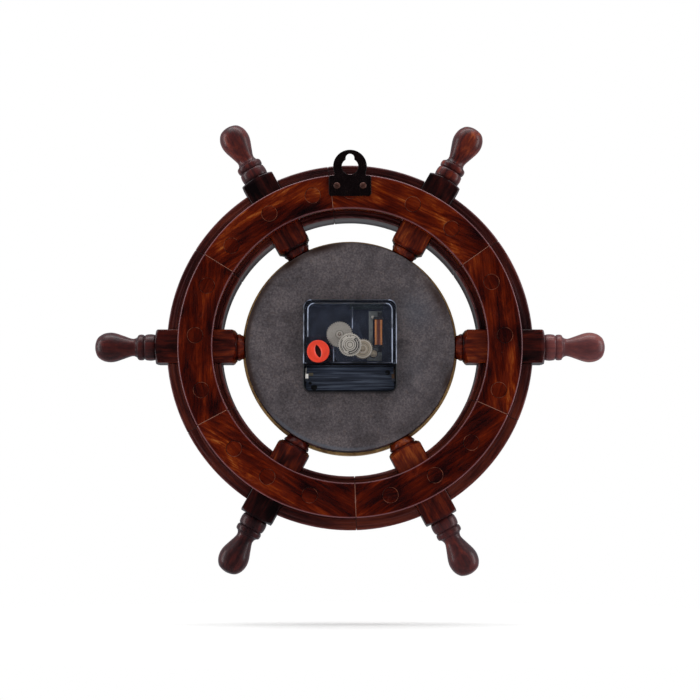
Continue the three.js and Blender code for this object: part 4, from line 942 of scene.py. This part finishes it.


# Hub
# Patches of brown, of bluish grey and of painted shade: angle, radius, their half widths and amount
BOARD_STAINS_AND_SHADE = {
    "brown": ((150, 60, 14, 3.0, 0.8), (75, 61, 12, 2.6, 0.9), (55, 60.5, 6, 2.4, 0.7),
              (25, 61.2, 34, 1.5, 0.8), (200, 61, 6, 1.6, 0.8), (335, 61.2, 28, 1.4, 0.8),
              (240, 58, 40, 5.0, 0.14)),
    # The bluish grey along the lower edge is painted light from below
    "blue_and_lit_edge": ((284, 61, 26, 0.9, 0.6), (312, 61, 14, 0.8, 0.4), (152, 44, 14, 9.0, 0.28),
             (200, 40, 20, 9.0, 0.12)),
    "shade": ((215, 58, 22, 4.5, 0.35), (180, 33, 12, 4, 0.3), (0, 34, 14, 4, 0.3), (330, 60, 20, 3.0, 0.2))}
BOARD_RINGS = (7, 0.7, 14)  # fine rings of points near the edge, their width, and rings in the rest
LIP_EDGE = 0.9
LIP_THICKNESS = 2.0
BEZEL_ROUND = 3.4
BEZEL_GROOVE = ((-0.6, 0), (-0.2, 0.35), (0.2, 0.35), (0.6, 0))
BEZEL_GROOVE_PLACE = 5.5  # from the back
BEZEL_DULL = 4.0  # from the back


def vary(piece, choose, *looks):
    """Gives some faces a look of their own: choose(face, middle) is its number, or 0 for the first one."""
    for look in looks:
        piece.data.materials.append(LOOKS[look])
    for face in piece.data.polygons:
        face.material_index = choose(face, (face.center - CENTRE) / MM)


def make_hub():
    hub = measure("hub_body")
    body = turned("hub_body_wood", disc_profile(hub.outer, hub.front, hub.back, 0.5, hub.inner))
    hole = TENON_R + GAP
    section = [(SPOKE_AXIS + hole * math.cos(math.radians(t)), hole * math.sin(math.radians(t)))
               for t in range(0, 360, 15)]
    rings = [[(x, y, z) for y, z in section] for x in (SPOKE_LOW.x - GAP, hub.outer + 2)]
    combine(body, [spin(loft("socket", rings), angle) for angle in SPOKES.values()])
    paint(body, grain=lambda p: (p.x, p.z, p.y), tone=lambda p: PLAIN_TONE)
    finish(body, "hub_wood", replaces="hub_body")

    size = measure("back_board")
    count, width, rest = BOARD_RINGS
    profile = [(size.inner, size.front), (size.outer - 0.35, size.front), (size.outer, size.front + 0.35),
               (size.outer, size.back - 0.4), (size.outer - 0.12, size.back - 0.12)]
    fine = [size.outer - 0.4 - width * i for i in range(count + 1)]
    coarse = [fine[-1] - (fine[-1] - size.inner) * i / rest for i in range(1, rest + 1)]
    profile += [(radius, size.back) for radius in fine + coarse]
    board = turned("back_board_sheet", profile, steps=FINE_STEPS)
    paint(board, **{kind: lambda p, patches=patches: min(stains(p, patches), 1.0)
                    for kind, patches in BOARD_STAINS_AND_SHADE.items()})
    finish(board, "board_grey", replaces="back_board")


def make_bezel():
    size = measure("brass_bezel")
    wall = measure("hub_body").outer + GAP
    bore = measure("dial").outer + GAP
    seat = size.front + LIP_THICKNESS
    shoulder = measure("hub_body").front - GAP
    profile = [(size.inner, seat), (size.inner, size.front + LIP_EDGE), (size.inner + 0.25, size.front + 0.3),
               (size.inner + LIP_EDGE, size.front)]
    profile += quarter(size.outer - BEZEL_ROUND, size.front + BEZEL_ROUND, BEZEL_ROUND, -90, 12)
    profile += [(size.outer - depth, size.back - BEZEL_GROOVE_PLACE + step) for step, depth in BEZEL_GROOVE]
    profile += [(size.outer, size.back - 0.3), (size.outer - 0.3, size.back), (wall, size.back),
                (wall, shoulder), (bore, shoulder), (bore, seat)]
    bezel = turned("brass_bezel_ring", profile, steps=FINE_STEPS, angle=30)
    finish(bezel, "brass", replaces="brass_bezel")
    vary(bezel, lambda face, point: int(point.y > size.back - BEZEL_DULL), "brass_edge")


# Dial
NUMERAL_SIZE = 9.5
NUMERAL_RADIUS = 45.5
NUMERAL_SWELL = 0.12
TRACK_RADII = (53.0, 56.0)
TRACK_HALF = 0.15
# How far inside the track a minute's tick and an hour's start, and their widths
MINUTE_TICK = (0, 0.4)
HOUR_TICK = (1.2, 1.1)
INK = 0.06


def prism(name, outline, front, back):
    return loft(name, [[(x, y, z) for x, z in outline] for y in (front, back)])


def tick(angle, inner, outer, width):
    out, side = polar(1, angle), polar(1, angle + 90)
    return [((out * r + side * w).x, (out * r + side * w).z)
            for r, w in ((inner, -width / 2), (outer, -width / 2), (outer, width / 2), (inner, width / 2))]


def make_dial():
    size = measure("dial")
    plate = turned("dial_plate", disc_profile(size.outer, size.front, size.back, 0.15, size.inner))
    finish(plate, "dial_cream", replaces="dial")
    ink, paper = size.front - INK, size.front + 0.01
    prints = []
    for hour in range(1, 13):
        text = bpy.data.curves.new(f"numeral_{hour}", "FONT")
        text.body = str(hour)
        text.size = NUMERAL_SIZE * MM
        text.align_x = "CENTER"
        text.align_y = "CENTER"
        text.extrude = INK / 2 * MM
        text.offset = NUMERAL_SWELL * MM
        prints.append(settle(text.name, text, polar(NUMERAL_RADIUS, 90 - 30 * hour, size.front - INK / 2)))
    for minute in range(60):
        inside, width = MINUTE_TICK if minute % 5 else HOUR_TICK
        line = tick(90 - 6 * minute, TRACK_RADII[0] - inside, TRACK_RADII[1], width)
        prints.append(prism("tick", line, ink, paper))
    for radius in TRACK_RADII:
        low, high = radius - TRACK_HALF, radius + TRACK_HALF
        prints.append(turned("track", [(low, ink), (high, ink), (high, paper), (low, paper)]))
    finish(merge("dial_print", prints), "dial_black")
    glass = measure("glass")
    pane = turned("glass_pane", disc_profile(glass.outer, glass.front, glass.back, 0.3))
    finish(pane, "clear_glass", replaces="glass")


# Movement
CASE_CORNER = 4.8
CASE_WALL = 1.2
CASE_CHAMFER = 0.6
CASE_DEPTH = 14.2
BASE_DEPTH = 8.0
BAY_DEPTH = 12.5
BAY_CORNER = 2.4
DIVIDER = 1.0
FLANGE = 1.3
COVER_CHAMFER = 0.54
COVER_CORNER = 4.0
COVER_WALL = 1.0
COVER_INSET = 2.6
RECESS_MARGIN = 2.0
RECESS_CORNER = 7.0
EDGE_ROOM = 1.5  # how far from a corner its lit edge may lie
CUT_DEPTH = 20.0
RIB = (-1.4, 9.3, 12.9, 0.6)  # X, bottom, length and width
RIDGE_WIDTH = 0.5
RIDGE_TOP = 2.4  # above the knob's middle
# Small round holes of the moulding in the bay, drawn as discs of painted shade: X, height from the bay's
# middle, and radius
BAY_HOLE_SHADES = ((21.2, -4.9, 1.8), (-22.2, 3.8, 1.5), (23.6, -2.4, 0.9))
BAY_RIBS = (-3.4, -0.6, 3.4)
KNOB_THICKNESS = 2.5
KNOB_R = 6.6
KNOB_RINGS = ((5.3, 0.0), (5.1, 0.12), (4.8, 0.12), (4.6, 0.0))  # radius and depth
KNOB_SLOT_LENGTH = 8.0
KNOB_SLOT_WIDTH = 3.2
KNOB_SLOT_DEPTH = 1.2
KNOB_SLOT_TILT = -17
KNOB_SLOT_STEPS = 12


def movement_sizes():
    base_low, base_high = extent("movement_base")
    cover_low, cover_high = extent("movement_cover")
    divider_top = cover_low.z - GAP
    return SimpleNamespace(
        half=base_high.x, inner=base_high.x - CASE_WALL, top=base_high.z, bottom=base_low.z, tip=base_low.y,
        front=cover_high.y - CASE_DEPTH, back=extent("set_knob")[1].y, cover_bottom=cover_low.z,
        divider_top=divider_top, bay_top=divider_top - DIVIDER, knob=middle("set_knob"))


CASE = movement_sizes()


def light_edges(piece, choose, *looks):
    """Gives the chamfers that face the wall a painted highlight of their own; choose says which one."""
    vary(piece, lambda face, point: 1 + choose(point) if 0.35 < face.normal.y < 0.93 else 0, *looks)


def make_case():
    m = CASE
    floor, far = m.front + CASE_WALL, m.front + CUT_DEPTH
    corner = CASE_CORNER - CASE_WALL
    base = slab("movement_base_case", (-m.half, m.bottom, m.half, m.top), (CASE_CORNER,) * 4, m.front,
                m.front + BAY_DEPTH, 0.4, CASE_CHAMFER, 1)
    upper = slab("room", (-m.inner, m.divider_top, m.inner, m.top - CASE_WALL),
                 (corner, corner, SQUARE, SQUARE), floor, far)
    bay = slab("room", (-m.inner, m.bottom + CASE_WALL, m.inner, m.bay_top),
               (SQUARE, SQUARE, BAY_CORNER, BAY_CORNER), floor, far)
    rebate = block("room", (-m.half - 1, m.front + BASE_DEPTH, m.divider_top), (m.half + 1, far, m.top + 1))
    slots = [block("room", (x, floor, m.bay_top - 1), (x + 1.0, far, m.divider_top + 1))
             for x in (-m.inner, m.inner - 1.0)]
    combine(base, [upper, bay, rebate, *slots])
    bevel(base, 0.3)
    finish(base, "movement_plastic", replaces="movement_base")
    light_edges(base, lambda point: 0, "case_edge_highlight")
    make_base_details(floor)
    make_cover()


def make_base_details(floor):
    """Bushing, sheen of the floors, and in the cell's bay the moulding's ribs and its holes, drawn as discs
    of painted shade.
    """
    m = CASE
    outer = measure("shaft_nut").inner - 0.3
    inner, end = outer - 1.15, m.front + 0.6
    profile = [(inner, m.tip), (outer - 0.2, m.tip), (outer, m.tip + 0.3), (outer, end), (inner, end)]
    tube = turned("movement_bushing", profile, steps=ROD_STEPS)
    finish(tube, "brass")
    bay_middle = (m.bay_top + m.bottom + CASE_WALL) / 2
    marks = [turned("mark", disc_profile(radius, floor, floor + 0.3, 0.1), (x, bay_middle + z), 32)
             for x, z, radius in BAY_HOLE_SHADES]
    finish(merge("bay_hole_shades", marks), "case_deep")
    ribs = [block("rib", (-m.inner + 4, floor - 0.1, bay_middle + z - 0.2),
                  (m.inner - 4, floor + 0.45, bay_middle + z + 0.2)) for z in BAY_RIBS]
    finish(merge("bay_ribs", ribs), "bay_plastic")
    side = m.inner - 0.3
    liner = slab("case_floor_sheen", (-side, m.cover_bottom + 0.3, side, m.top - CASE_WALL - 0.3),
                 (3, 3, 0.3, 0.3), floor - 0.05, floor + 0.08, 0.02, 0.05)
    finish(liner, "case_floor")
    bay_floor = slab("bay_floor", (-side, m.bottom + CASE_WALL + 0.3, side, m.cover_bottom - 1.6),
                     (0.3, 0.3, BAY_CORNER, BAY_CORNER), floor - 0.05, floor + 0.12, 0.02, 0.05)
    finish(bay_floor, "bay_plastic")


def make_cover():
    """Cover with its raised back, the knob's recess and two ribs; the ribs and its chamfers carry painted
    highlights.
    """
    m = CASE
    knob_x, knob_z = m.knob
    half, top = m.half - COVER_INSET, m.top - COVER_INSET
    low = m.front + BASE_DEPTH
    shelf = m.back - KNOB_THICKNESS - GAP
    reach = KNOB_R + RECESS_MARGIN
    inside_corner = COVER_CORNER - COVER_WALL

    def recess(margin, depth):
        side = reach + margin
        return slab("recess", (knob_x - side, m.bottom, m.half + 1, knob_z + side),
                    (SQUARE, RECESS_CORNER + margin, SQUARE, SQUARE), depth, depth + 30)

    def edge_kind(point):
        if point.z > top - EDGE_ROOM and abs(point.x) < half - COVER_CORNER:
            return 3
        if abs(point.x) > half + 0.3:
            return 0
        by_knob = point.x > knob_x - reach - EDGE_ROOM and point.z < knob_z + reach + EDGE_ROOM
        return 2 if by_knob or point.z < m.cover_bottom + EDGE_ROOM else 1

    cover = slab("movement_cover_shell", (-m.half, m.cover_bottom, m.half, m.top),
                 (CASE_CORNER, CASE_CORNER, SQUARE, SQUARE), low + GAP, low + FLANGE, 0.1, CASE_CHAMFER, 1)
    raised = slab("raised", (-half, m.cover_bottom, half, top), (COVER_CORNER, COVER_CORNER, SQUARE, SQUARE),
                  low + 0.6, m.back, 0.1, COVER_CHAMFER, 1)
    combine(cover, [raised], "UNION")
    side = half - COVER_WALL
    room = slab("room", (-side, m.cover_bottom + COVER_WALL, side, top - COVER_WALL),
                (inside_corner, inside_corner, SQUARE, SQUARE), m.front + 2, m.back - COVER_WALL)
    combine(room, [recess(COVER_WALL, shelf - COVER_WALL)])
    combine(cover, [recess(0.0, shelf)])
    combine(cover, [room, rod(1.5, m.front + 4, m.back + 1, m.knob, 32)])
    bevel(cover, 0.4)
    finish(cover, "smoky_plastic", replaces="movement_cover")
    light_edges(cover, edge_kind, "flange_highlight", "cover_highlight", "recess_highlight", "top_highlight")
    # The rib and the ridge by the knob are coloured as painted highlight lines
    ridge = (knob_x - reach - RIDGE_WIDTH, m.cover_bottom + 0.8, knob_z + RIDGE_TOP - m.cover_bottom,
             RIDGE_WIDTH)
    ribs = [slab("rib", (x - width / 2, bottom, x + width / 2, bottom + length), (width / 2 - 0.01,) * 4,
                 m.back - 0.1, m.back + 0.4, 0.05, width / 2 - 0.05)
            for x, bottom, length, width in (RIB, ridge)]
    finish(merge("cover_rib", ribs), "cover_highlight")


def lens(name, inset, front, back):
    """The knob's slot with its pointed ends, tilted from upright."""
    up = polar(KNOB_SLOT_LENGTH / 2 - inset, 90 + KNOB_SLOT_TILT)
    side = polar(KNOB_SLOT_WIDTH / 2 - inset, KNOB_SLOT_TILT)
    outline = []
    for sign in (1, -1):
        for i in range(KNOB_SLOT_STEPS):
            share = -1 + 2 * i / KNOB_SLOT_STEPS
            spot = (up * share + side * (1 - share ** 2) ** 0.7) * sign
            outline.append((CASE.knob[0] + spot.x, CASE.knob[1] + spot.z))
    return prism(name, outline, front, back)


def make_knob():
    """A new head with turned rings and a lens-shaped slot, on the shaft and gear of the node."""
    back = CASE.back
    front, slot_floor = back - KNOB_THICKNESS, back - KNOB_SLOT_DEPTH
    profile = disc_profile(KNOB_R, front, back, 0.5, rounds=4)
    profile[-1:-1] = [(radius, back - depth) for radius, depth in KNOB_RINGS]
    knob = turned("set_knob_head", profile, CASE.knob, 96)
    combine(knob, [lens("slot", 0.0, slot_floor, back + 1)])
    stem = add_object("stem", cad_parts["set_knob"].data.copy())
    combine(stem, [rod(KNOB_R + 1, front - 0.02, back + 1, CASE.knob)])
    combine(knob, [stem], "UNION")
    finish(knob, "knob_red", body="knob_group", replaces="set_knob")
    # A dark red sheet on the slot's floor: painted shade in the slot
    well = lens("set_knob_slot", 0.05, slot_floor - 0.1, slot_floor + 0.05)
    finish(well, "knob_slot", "knob_group")


# Marks on the wheels that show through the cover, from the wheel's back face up
MARK = 0.18
LOW_MARK = 0.06
SUNK = 0.02
MARK_EDGE = 0.04
# Wheel, name, look, then rings with their inner and outer radius, and arcs with their radius, start, end and
# width; a last number is a height that isn't the usual one
# The near-black slots are painted shade for the seconds wheel's openings, and the darker grey grooves painted
# shade for grooves in the faces
WHEEL_MARKS = (
    ("seconds_wheel", "rings", "wheel_pale", ((6.1, 6.6), (3.15, 3.5), (1.9, 2.3), (0.75, 1.2, 0.3)), ()),
    ("seconds_wheel", "slots", "wheel_marks", ((0.25, 0.6, 0.2),), (
        (4.05, -97, 50, 0.46), (5.15, -97, 52, 0.5), (4.6, 46, 53, 1.2), (4.6, -101, -94, 1.2),
        (5.15, 148, 224, 0.36), (4.1, 186, 242, 0.32), (5.15, 82, 92, 0.45), (5.15, 102, 110, 0.45))),
    ("seconds_wheel", "grooves", "wheel_grooves", (
        (2.6, 2.95, LOW_MARK), (3.6, 3.8, LOW_MARK), (5.65, 5.95, LOW_MARK), (1.35, 1.75, LOW_MARK)), ()),
    ("third_wheel", "rings", "wheel_pale", ((1.3, 1.7),), ()),
    ("third_wheel", "marks", "wheel_rust", ((0.5, 0.8, 0.1),), ((1.15, 60, 130, 0.3, 0.1),)),
    ("third_wheel", "groove", "wheel_grooves", ((2.3, 2.5, LOW_MARK),), ()),
    ("transfer_wheel", "rings", "wheel_pale", ((4.9, 5.3), (2.0, 2.3)), ()),
    ("transfer_wheel", "grooves", "wheel_grooves", ((3.3, 3.55, LOW_MARK), (5.5, 5.7, LOW_MARK)), ()))
TRANSFER_BARS = (-0.8, 0.8)


def wheel_face(node, place):
    """Back face of a wheel's disc: the deepest of its points far from the axis."""
    far = measure(node, place).outer * 0.8
    return max(p.y for p in corners(node) if math.hypot(p.x - place[0], p.z - place[1]) > far)


def ring_mark(place, face, inner, outer, height=MARK):
    low, top = face - SUNK, face + height
    return turned("ring", [(inner, low), (outer, low), (outer, top - MARK_EDGE), (outer - MARK_EDGE, top),
                           (inner + MARK_EDGE, top), (inner, top - MARK_EDGE)], place, 72)


def arc_mark(place, face, radius, start, end, width, height=MARK):
    """A raised or inked arc; its angles are read from the wall side, anticlockwise from the right."""
    steps = max(3, round((end - start) / 8))
    outline = arc(*place, radius + width / 2, 180 - start, 180 - end, steps)
    outline += arc(*place, radius - width / 2, 180 - end, 180 - start, steps)
    return prism("arc", outline, face - SUNK, face + height)


def make_wheel_marks():
    for node, part, look, rings, arcs in WHEEL_MARKS:
        place = (0.0, 0.0) if node == "seconds_wheel" else middle(node)
        face = wheel_face(node, place)
        marks = [arc_mark(place, face, *mark) for mark in arcs]
        marks += [ring_mark(place, face, *mark) for mark in rings]
        finish(merge(f"{node}_{part}", marks), look, node.replace("wheel", "group"))
    x, z = middle("transfer_wheel")
    face = wheel_face("transfer_wheel", (x, z))
    bars = [block("bar", (x + side - 0.22, face - SUNK, z - 1.2), (x + side + 0.22, face + 0.1, z + 1.2))
            for side in TRANSFER_BARS]
    finish(merge("transfer_wheel_marks", bars), "wheel_rust", "transfer_group")


WIRE_PITCH = 0.5
WIRE_RIDGE = 0.1
COIL_SIDES = 40
SOLDER = ((0, 0), (0.9, 0), (0.75, 0.4), (0.35, 0.62), (0, 0.66))  # radius and height
SOLDER_PLACE = (3.4, 1.6)  # from the coil's axis and its top
LEAF_SIDES = (4.4, 1.9)  # from the contact's tab
LEAF_HEIGHTS = (-18.0, -16.2)


def make_coil():
    """The winding with its turns as ridges, round the bobbin's core, and the parts beside it."""
    low, high = extent("coil_winding")
    x, y = (low.x + high.x) / 2, (low.y + high.y) / 2
    bore = min(math.hypot(p.x - x, p.y - y) for p in corners("coil_winding"))
    radius = (high.x - low.x) / 2
    steps = round((high.z - low.z) / WIRE_PITCH) * 4
    outline = [(low.z + (high.z - low.z) * i / steps, radius - WIRE_RIDGE * abs(math.cos(math.pi * i / 4)))
               for i in range(steps + 1)]
    turns = [math.tau * k / COIL_SIDES for k in range(COIL_SIDES)]
    rings = [[(x + reach * math.sin(turn), y + reach * math.cos(turn), z) for turn in turns]
             for z, reach in [*outline, (high.z, bore), (low.z, bore)]]
    coil = loft("coil_winding_turns", rings, around=True, angle=60)
    # Painted shade: the middle of the winding's side towards the wall is darkened, its edges keep the bright
    # copper
    paint(coil, varnish=lambda p: max(0.0, 1 - ((p.x - x) / (radius * 0.62)) ** 4) if p.y > y else 0.2)
    finish(coil, "copper", replaces="coil_winding")
    face = extent("stator")[1].y
    solder = turned("solder_dots", [(reach, face + rise) for reach, rise in SOLDER],
                    (x + SOLDER_PLACE[0], high.z + SOLDER_PLACE[1]), 24)
    finish(solder, "plated_steel")
    tab = extent("contact_minus")[1]
    left, right = (tab.x - side for side in LEAF_SIDES)
    leaf = slab("contact_leaf", (left, LEAF_HEIGHTS[0], right, LEAF_HEIGHTS[1]), (0.3,) * 4, tab.y - 5.5,
                tab.y - 5.1, 0.1, 0.15)
    finish(leaf, "spring_leaf")


# Hanger
HANGER_CORNER = 1.5
PLATE_HEIGHT = 12.2
RING_RISE = 5.4
RING_R = 10.0
RING_JOIN = 205
RING_FOOT = 3.0  # from the plate's side
KEYHOLE_R = 4.9
SLOT_HALF = 2.55
SCREW_TURNS = {1: -35, 2: 20}
HEAD_RISE = 0.7
SHANK_R = 1.1


def make_hanger():
    low, high = extent("hanger_plate")
    half, bottom, top = high.x, low.z, low.z + PLATE_HEIGHT
    ring_z = top + RING_RISE
    corner = HANGER_CORNER
    outline = quarter(half - corner, bottom + corner, corner, -90, 6)
    outline += quarter(half - corner, top - corner, corner, 0, 6)
    outline += [(half - RING_FOOT, top), *arc(0, ring_z, RING_R, 180 - RING_JOIN, RING_JOIN, 60)]
    outline += [(-half + RING_FOOT, top), *quarter(-half + corner, top - corner, corner, 90, 6)]
    outline += quarter(-half + corner, bottom + corner, corner, 180, 6)
    nail = -CENTRE.z / MM - SLOT_HALF
    lean = math.degrees(math.asin(SLOT_HALF / KEYHOLE_R))
    keyhole = arc(0, ring_z, KEYHOLE_R, 90 + lean, 450 - lean, 60) + arc(0, nail, SLOT_HALF, 0, 180, 24)
    plate = flat_piece("hanger_plate_steel", [outline, keyhole], low.y, high.y, 0.18)
    finish(plate, "hanger_steel", replaces="hanger_plate")
    for number, turn in SCREW_TURNS.items():
        node = f"hanger_screw_{number}"
        x, z = middle(node)
        size = measure(node, (x, z))
        head = size.back - HEAD_RISE
        profile = [(0, size.front), (SHANK_R, size.front + 2.2), (SHANK_R, head), (size.outer, head)]
        profile += [(size.outer * math.cos(math.radians(t)), head + HEAD_RISE * math.sin(math.radians(t)))
                    for t in (15, 30, 45, 60, 75)]
        screw = turned(node + "_bronze", [*profile, (0, size.back)], (x, z), ROD_STEPS)
        slot = block("slot", (x - 3, head + 0.25, z - 0.25), (x + 3, head + 2, z + 0.25))
        combine(screw, [spin(slot, turn, CENTRE + Vector((x, 0, z)) * MM)])
        finish(screw, "screw_bronze", replaces=node)


# CAD nodes that keep their shape
KEPT = {
    "hour_hand": "hand_black", "minute_hand": "hand_black", "seconds_hand": "hand_red", "shaft_nut": "brass",
    "rotor": "wheel_warm", "transfer_wheel": "wheel_warm", "seconds_wheel": "wheel_pale",
    "third_wheel": "wheel_plastic", "centre_wheel": "wheel_grooves", "cannon_pinion": "brass",
    "motion_wheel": "case_deep", "hour_wheel": "wheel_plastic", "middle_plate": "case_floor",
    "stator": "lamination", "coil_bobbin": "bobbin_plastic", "circuit_board": "circuit_board",
    "contact_minus": "contact", "contact_plus": "contact_dull"}


def dress_nodes():
    for node, look in KEPT.items():
        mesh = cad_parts[node].data
        mesh.materials.clear()
        mesh.materials.append(LOOKS[look])


# Studio
def make_world():
    """What the rays that leave the scene meet, by their kind and direction."""
    world = bpy.data.worlds.new("studio")
    bpy.context.scene.world = world
    world.use_nodes = True
    net = Net(world.node_tree)
    background = net.tree.nodes["Background"]
    path = net.node("LightPath").outputs
    glossy = path["Is Glossy Ray"]
    direction = net.node("SeparateXYZ", {0: net.node("TexCoord").outputs["Generated"]}).outputs
    y, z = direction["Y"], direction["Z"]
    side = net.spread(net.math("ABSOLUTE", y), 0.25, 0.72, SIDE_GLOSS, FACE_GLOSS)
    gloss = net.math("MULTIPLY", side, net.spread(z, -0.6, 0.0, LOW_SHARE, 1.0))
    table = net.math("MULTIPLY", net.spread(z, -0.04, -0.2, 0.0, TABLE_GLOSS), net.spread(y, -0.5, -0.8))
    front = net.math("MULTIPLY", net.spread(y, -0.93, -0.985, FRONT_GLOSS, 0.0), net.spread(y, -0.3, -0.6))
    gloss = net.math("MAXIMUM", net.math("MAXIMUM", gloss, table), front)
    ambient = net.spread(y, -1.0, 0.0, DIAL_AMBIENT, AMBIENT)
    strength = net.node("Mix", {0: glossy, 2: ambient, 3: gloss}).outputs[0]
    # The camera sees plain white
    seen = net.math("MAXIMUM", path["Is Camera Ray"], path["Is Transmission Ray"])
    strength = net.node("Mix", {0: seen, 2: strength, 3: 1.0}).outputs[0]
    net.put(background.inputs["Strength"], strength)
    net.put(background.inputs["Color"], net.mix(glossy, (1, 1, 1, 1), GLOSS_TINT))


def make_floor():
    mesh = bpy.data.meshes.new("floor")
    turns = [math.tau * i / FLOOR_SIDES for i in range(FLOOR_SIDES)]
    points = [(FLOOR_RADIUS * math.cos(turn), FLOOR_RADIUS * math.sin(turn), 0) for turn in turns]
    mesh.from_pydata(points, [], [tuple(range(FLOOR_SIDES))])
    floor = add_object("floor", mesh)
    floor.location = (CENTRE.x, CENTRE.y, CENTRE.z - FLOOR_DROP)
    floor.visible_glossy = False
    net = new_look("floor_white")
    net.set(Base_Color=srgb(238, 238, 238), Roughness=0.9, Specular_IOR_Level=0.0)
    seen = net.node("LightPath").outputs["Is Camera Ray"]
    place = net.node("TexCoord").outputs["Object"]
    away = net.node("VectorMath", {0: place}, operation="LENGTH").outputs["Value"]
    white = net.node("Emission", {"Color": (1, 1, 1, 1), "Strength": FLOOR_WHITE}).outputs[0]
    fading = net.math("MULTIPLY", seen, net.spread(away, *FLOOR_FADE))
    blend = net.node("MixShader", {0: fading, 1: net.shader.outputs[0], 2: white}).outputs[0]
    # Seen from below, the floor isn't in the way
    under = net.math("MULTIPLY", seen, net.node("NewGeometry").outputs["Backfacing"])
    blend = net.node("MixShader", {0: under, 1: blend, 2: net.node("BsdfTransparent").outputs[0]}).outputs[0]
    output = next(node for node in net.tree.nodes if node.type == "OUTPUT_MATERIAL")
    net.put(output.inputs[0], blend)
    mesh.materials.append(LOOKS["floor_white"])


def make_studio():
    scene = bpy.context.scene
    scene.view_settings.view_transform = "Standard"
    target = CENTRE + Vector((0, SPOKE_AXIS * MM, 0))
    lift = math.radians(CAMERA_ELEVATION)
    away = Vector((0, math.cos(lift), math.sin(lift)))
    camera = add_object("camera", bpy.data.cameras.new("camera"))
    camera.data.sensor_width = SENSOR
    camera.data.lens = SENSOR * CAMERA_DISTANCE / PHOTO_WIDTH
    camera.data.shift_x, camera.data.shift_y = CAMERA_SHIFT
    camera.location = target + away * CAMERA_DISTANCE
    camera.rotation_mode = "QUATERNION"
    camera.rotation_quaternion = (-away).to_track_quat("-Z", "Y")
    scene.camera = camera
    for name, place, size, watts in LAMPS:
        light = bpy.data.lights.new(name, "AREA")
        light.shape = "RECTANGLE"
        light.size, light.size_y = size
        light.energy = watts
        lamp = add_object(name, light)
        lamp.location = CENTRE + Vector(place)
        lamp.rotation_mode = "QUATERNION"
        lamp.rotation_quaternion = (-Vector(place)).to_track_quat("-Z", "Y")
    make_world()
    make_floor()


make_looks()
make_studio()
dress_nodes()
make_rim()
make_spokes()
make_hub()
make_bezel()
make_dial()
make_case()
make_knob()
make_wheel_marks()
make_coil()
make_hanger()
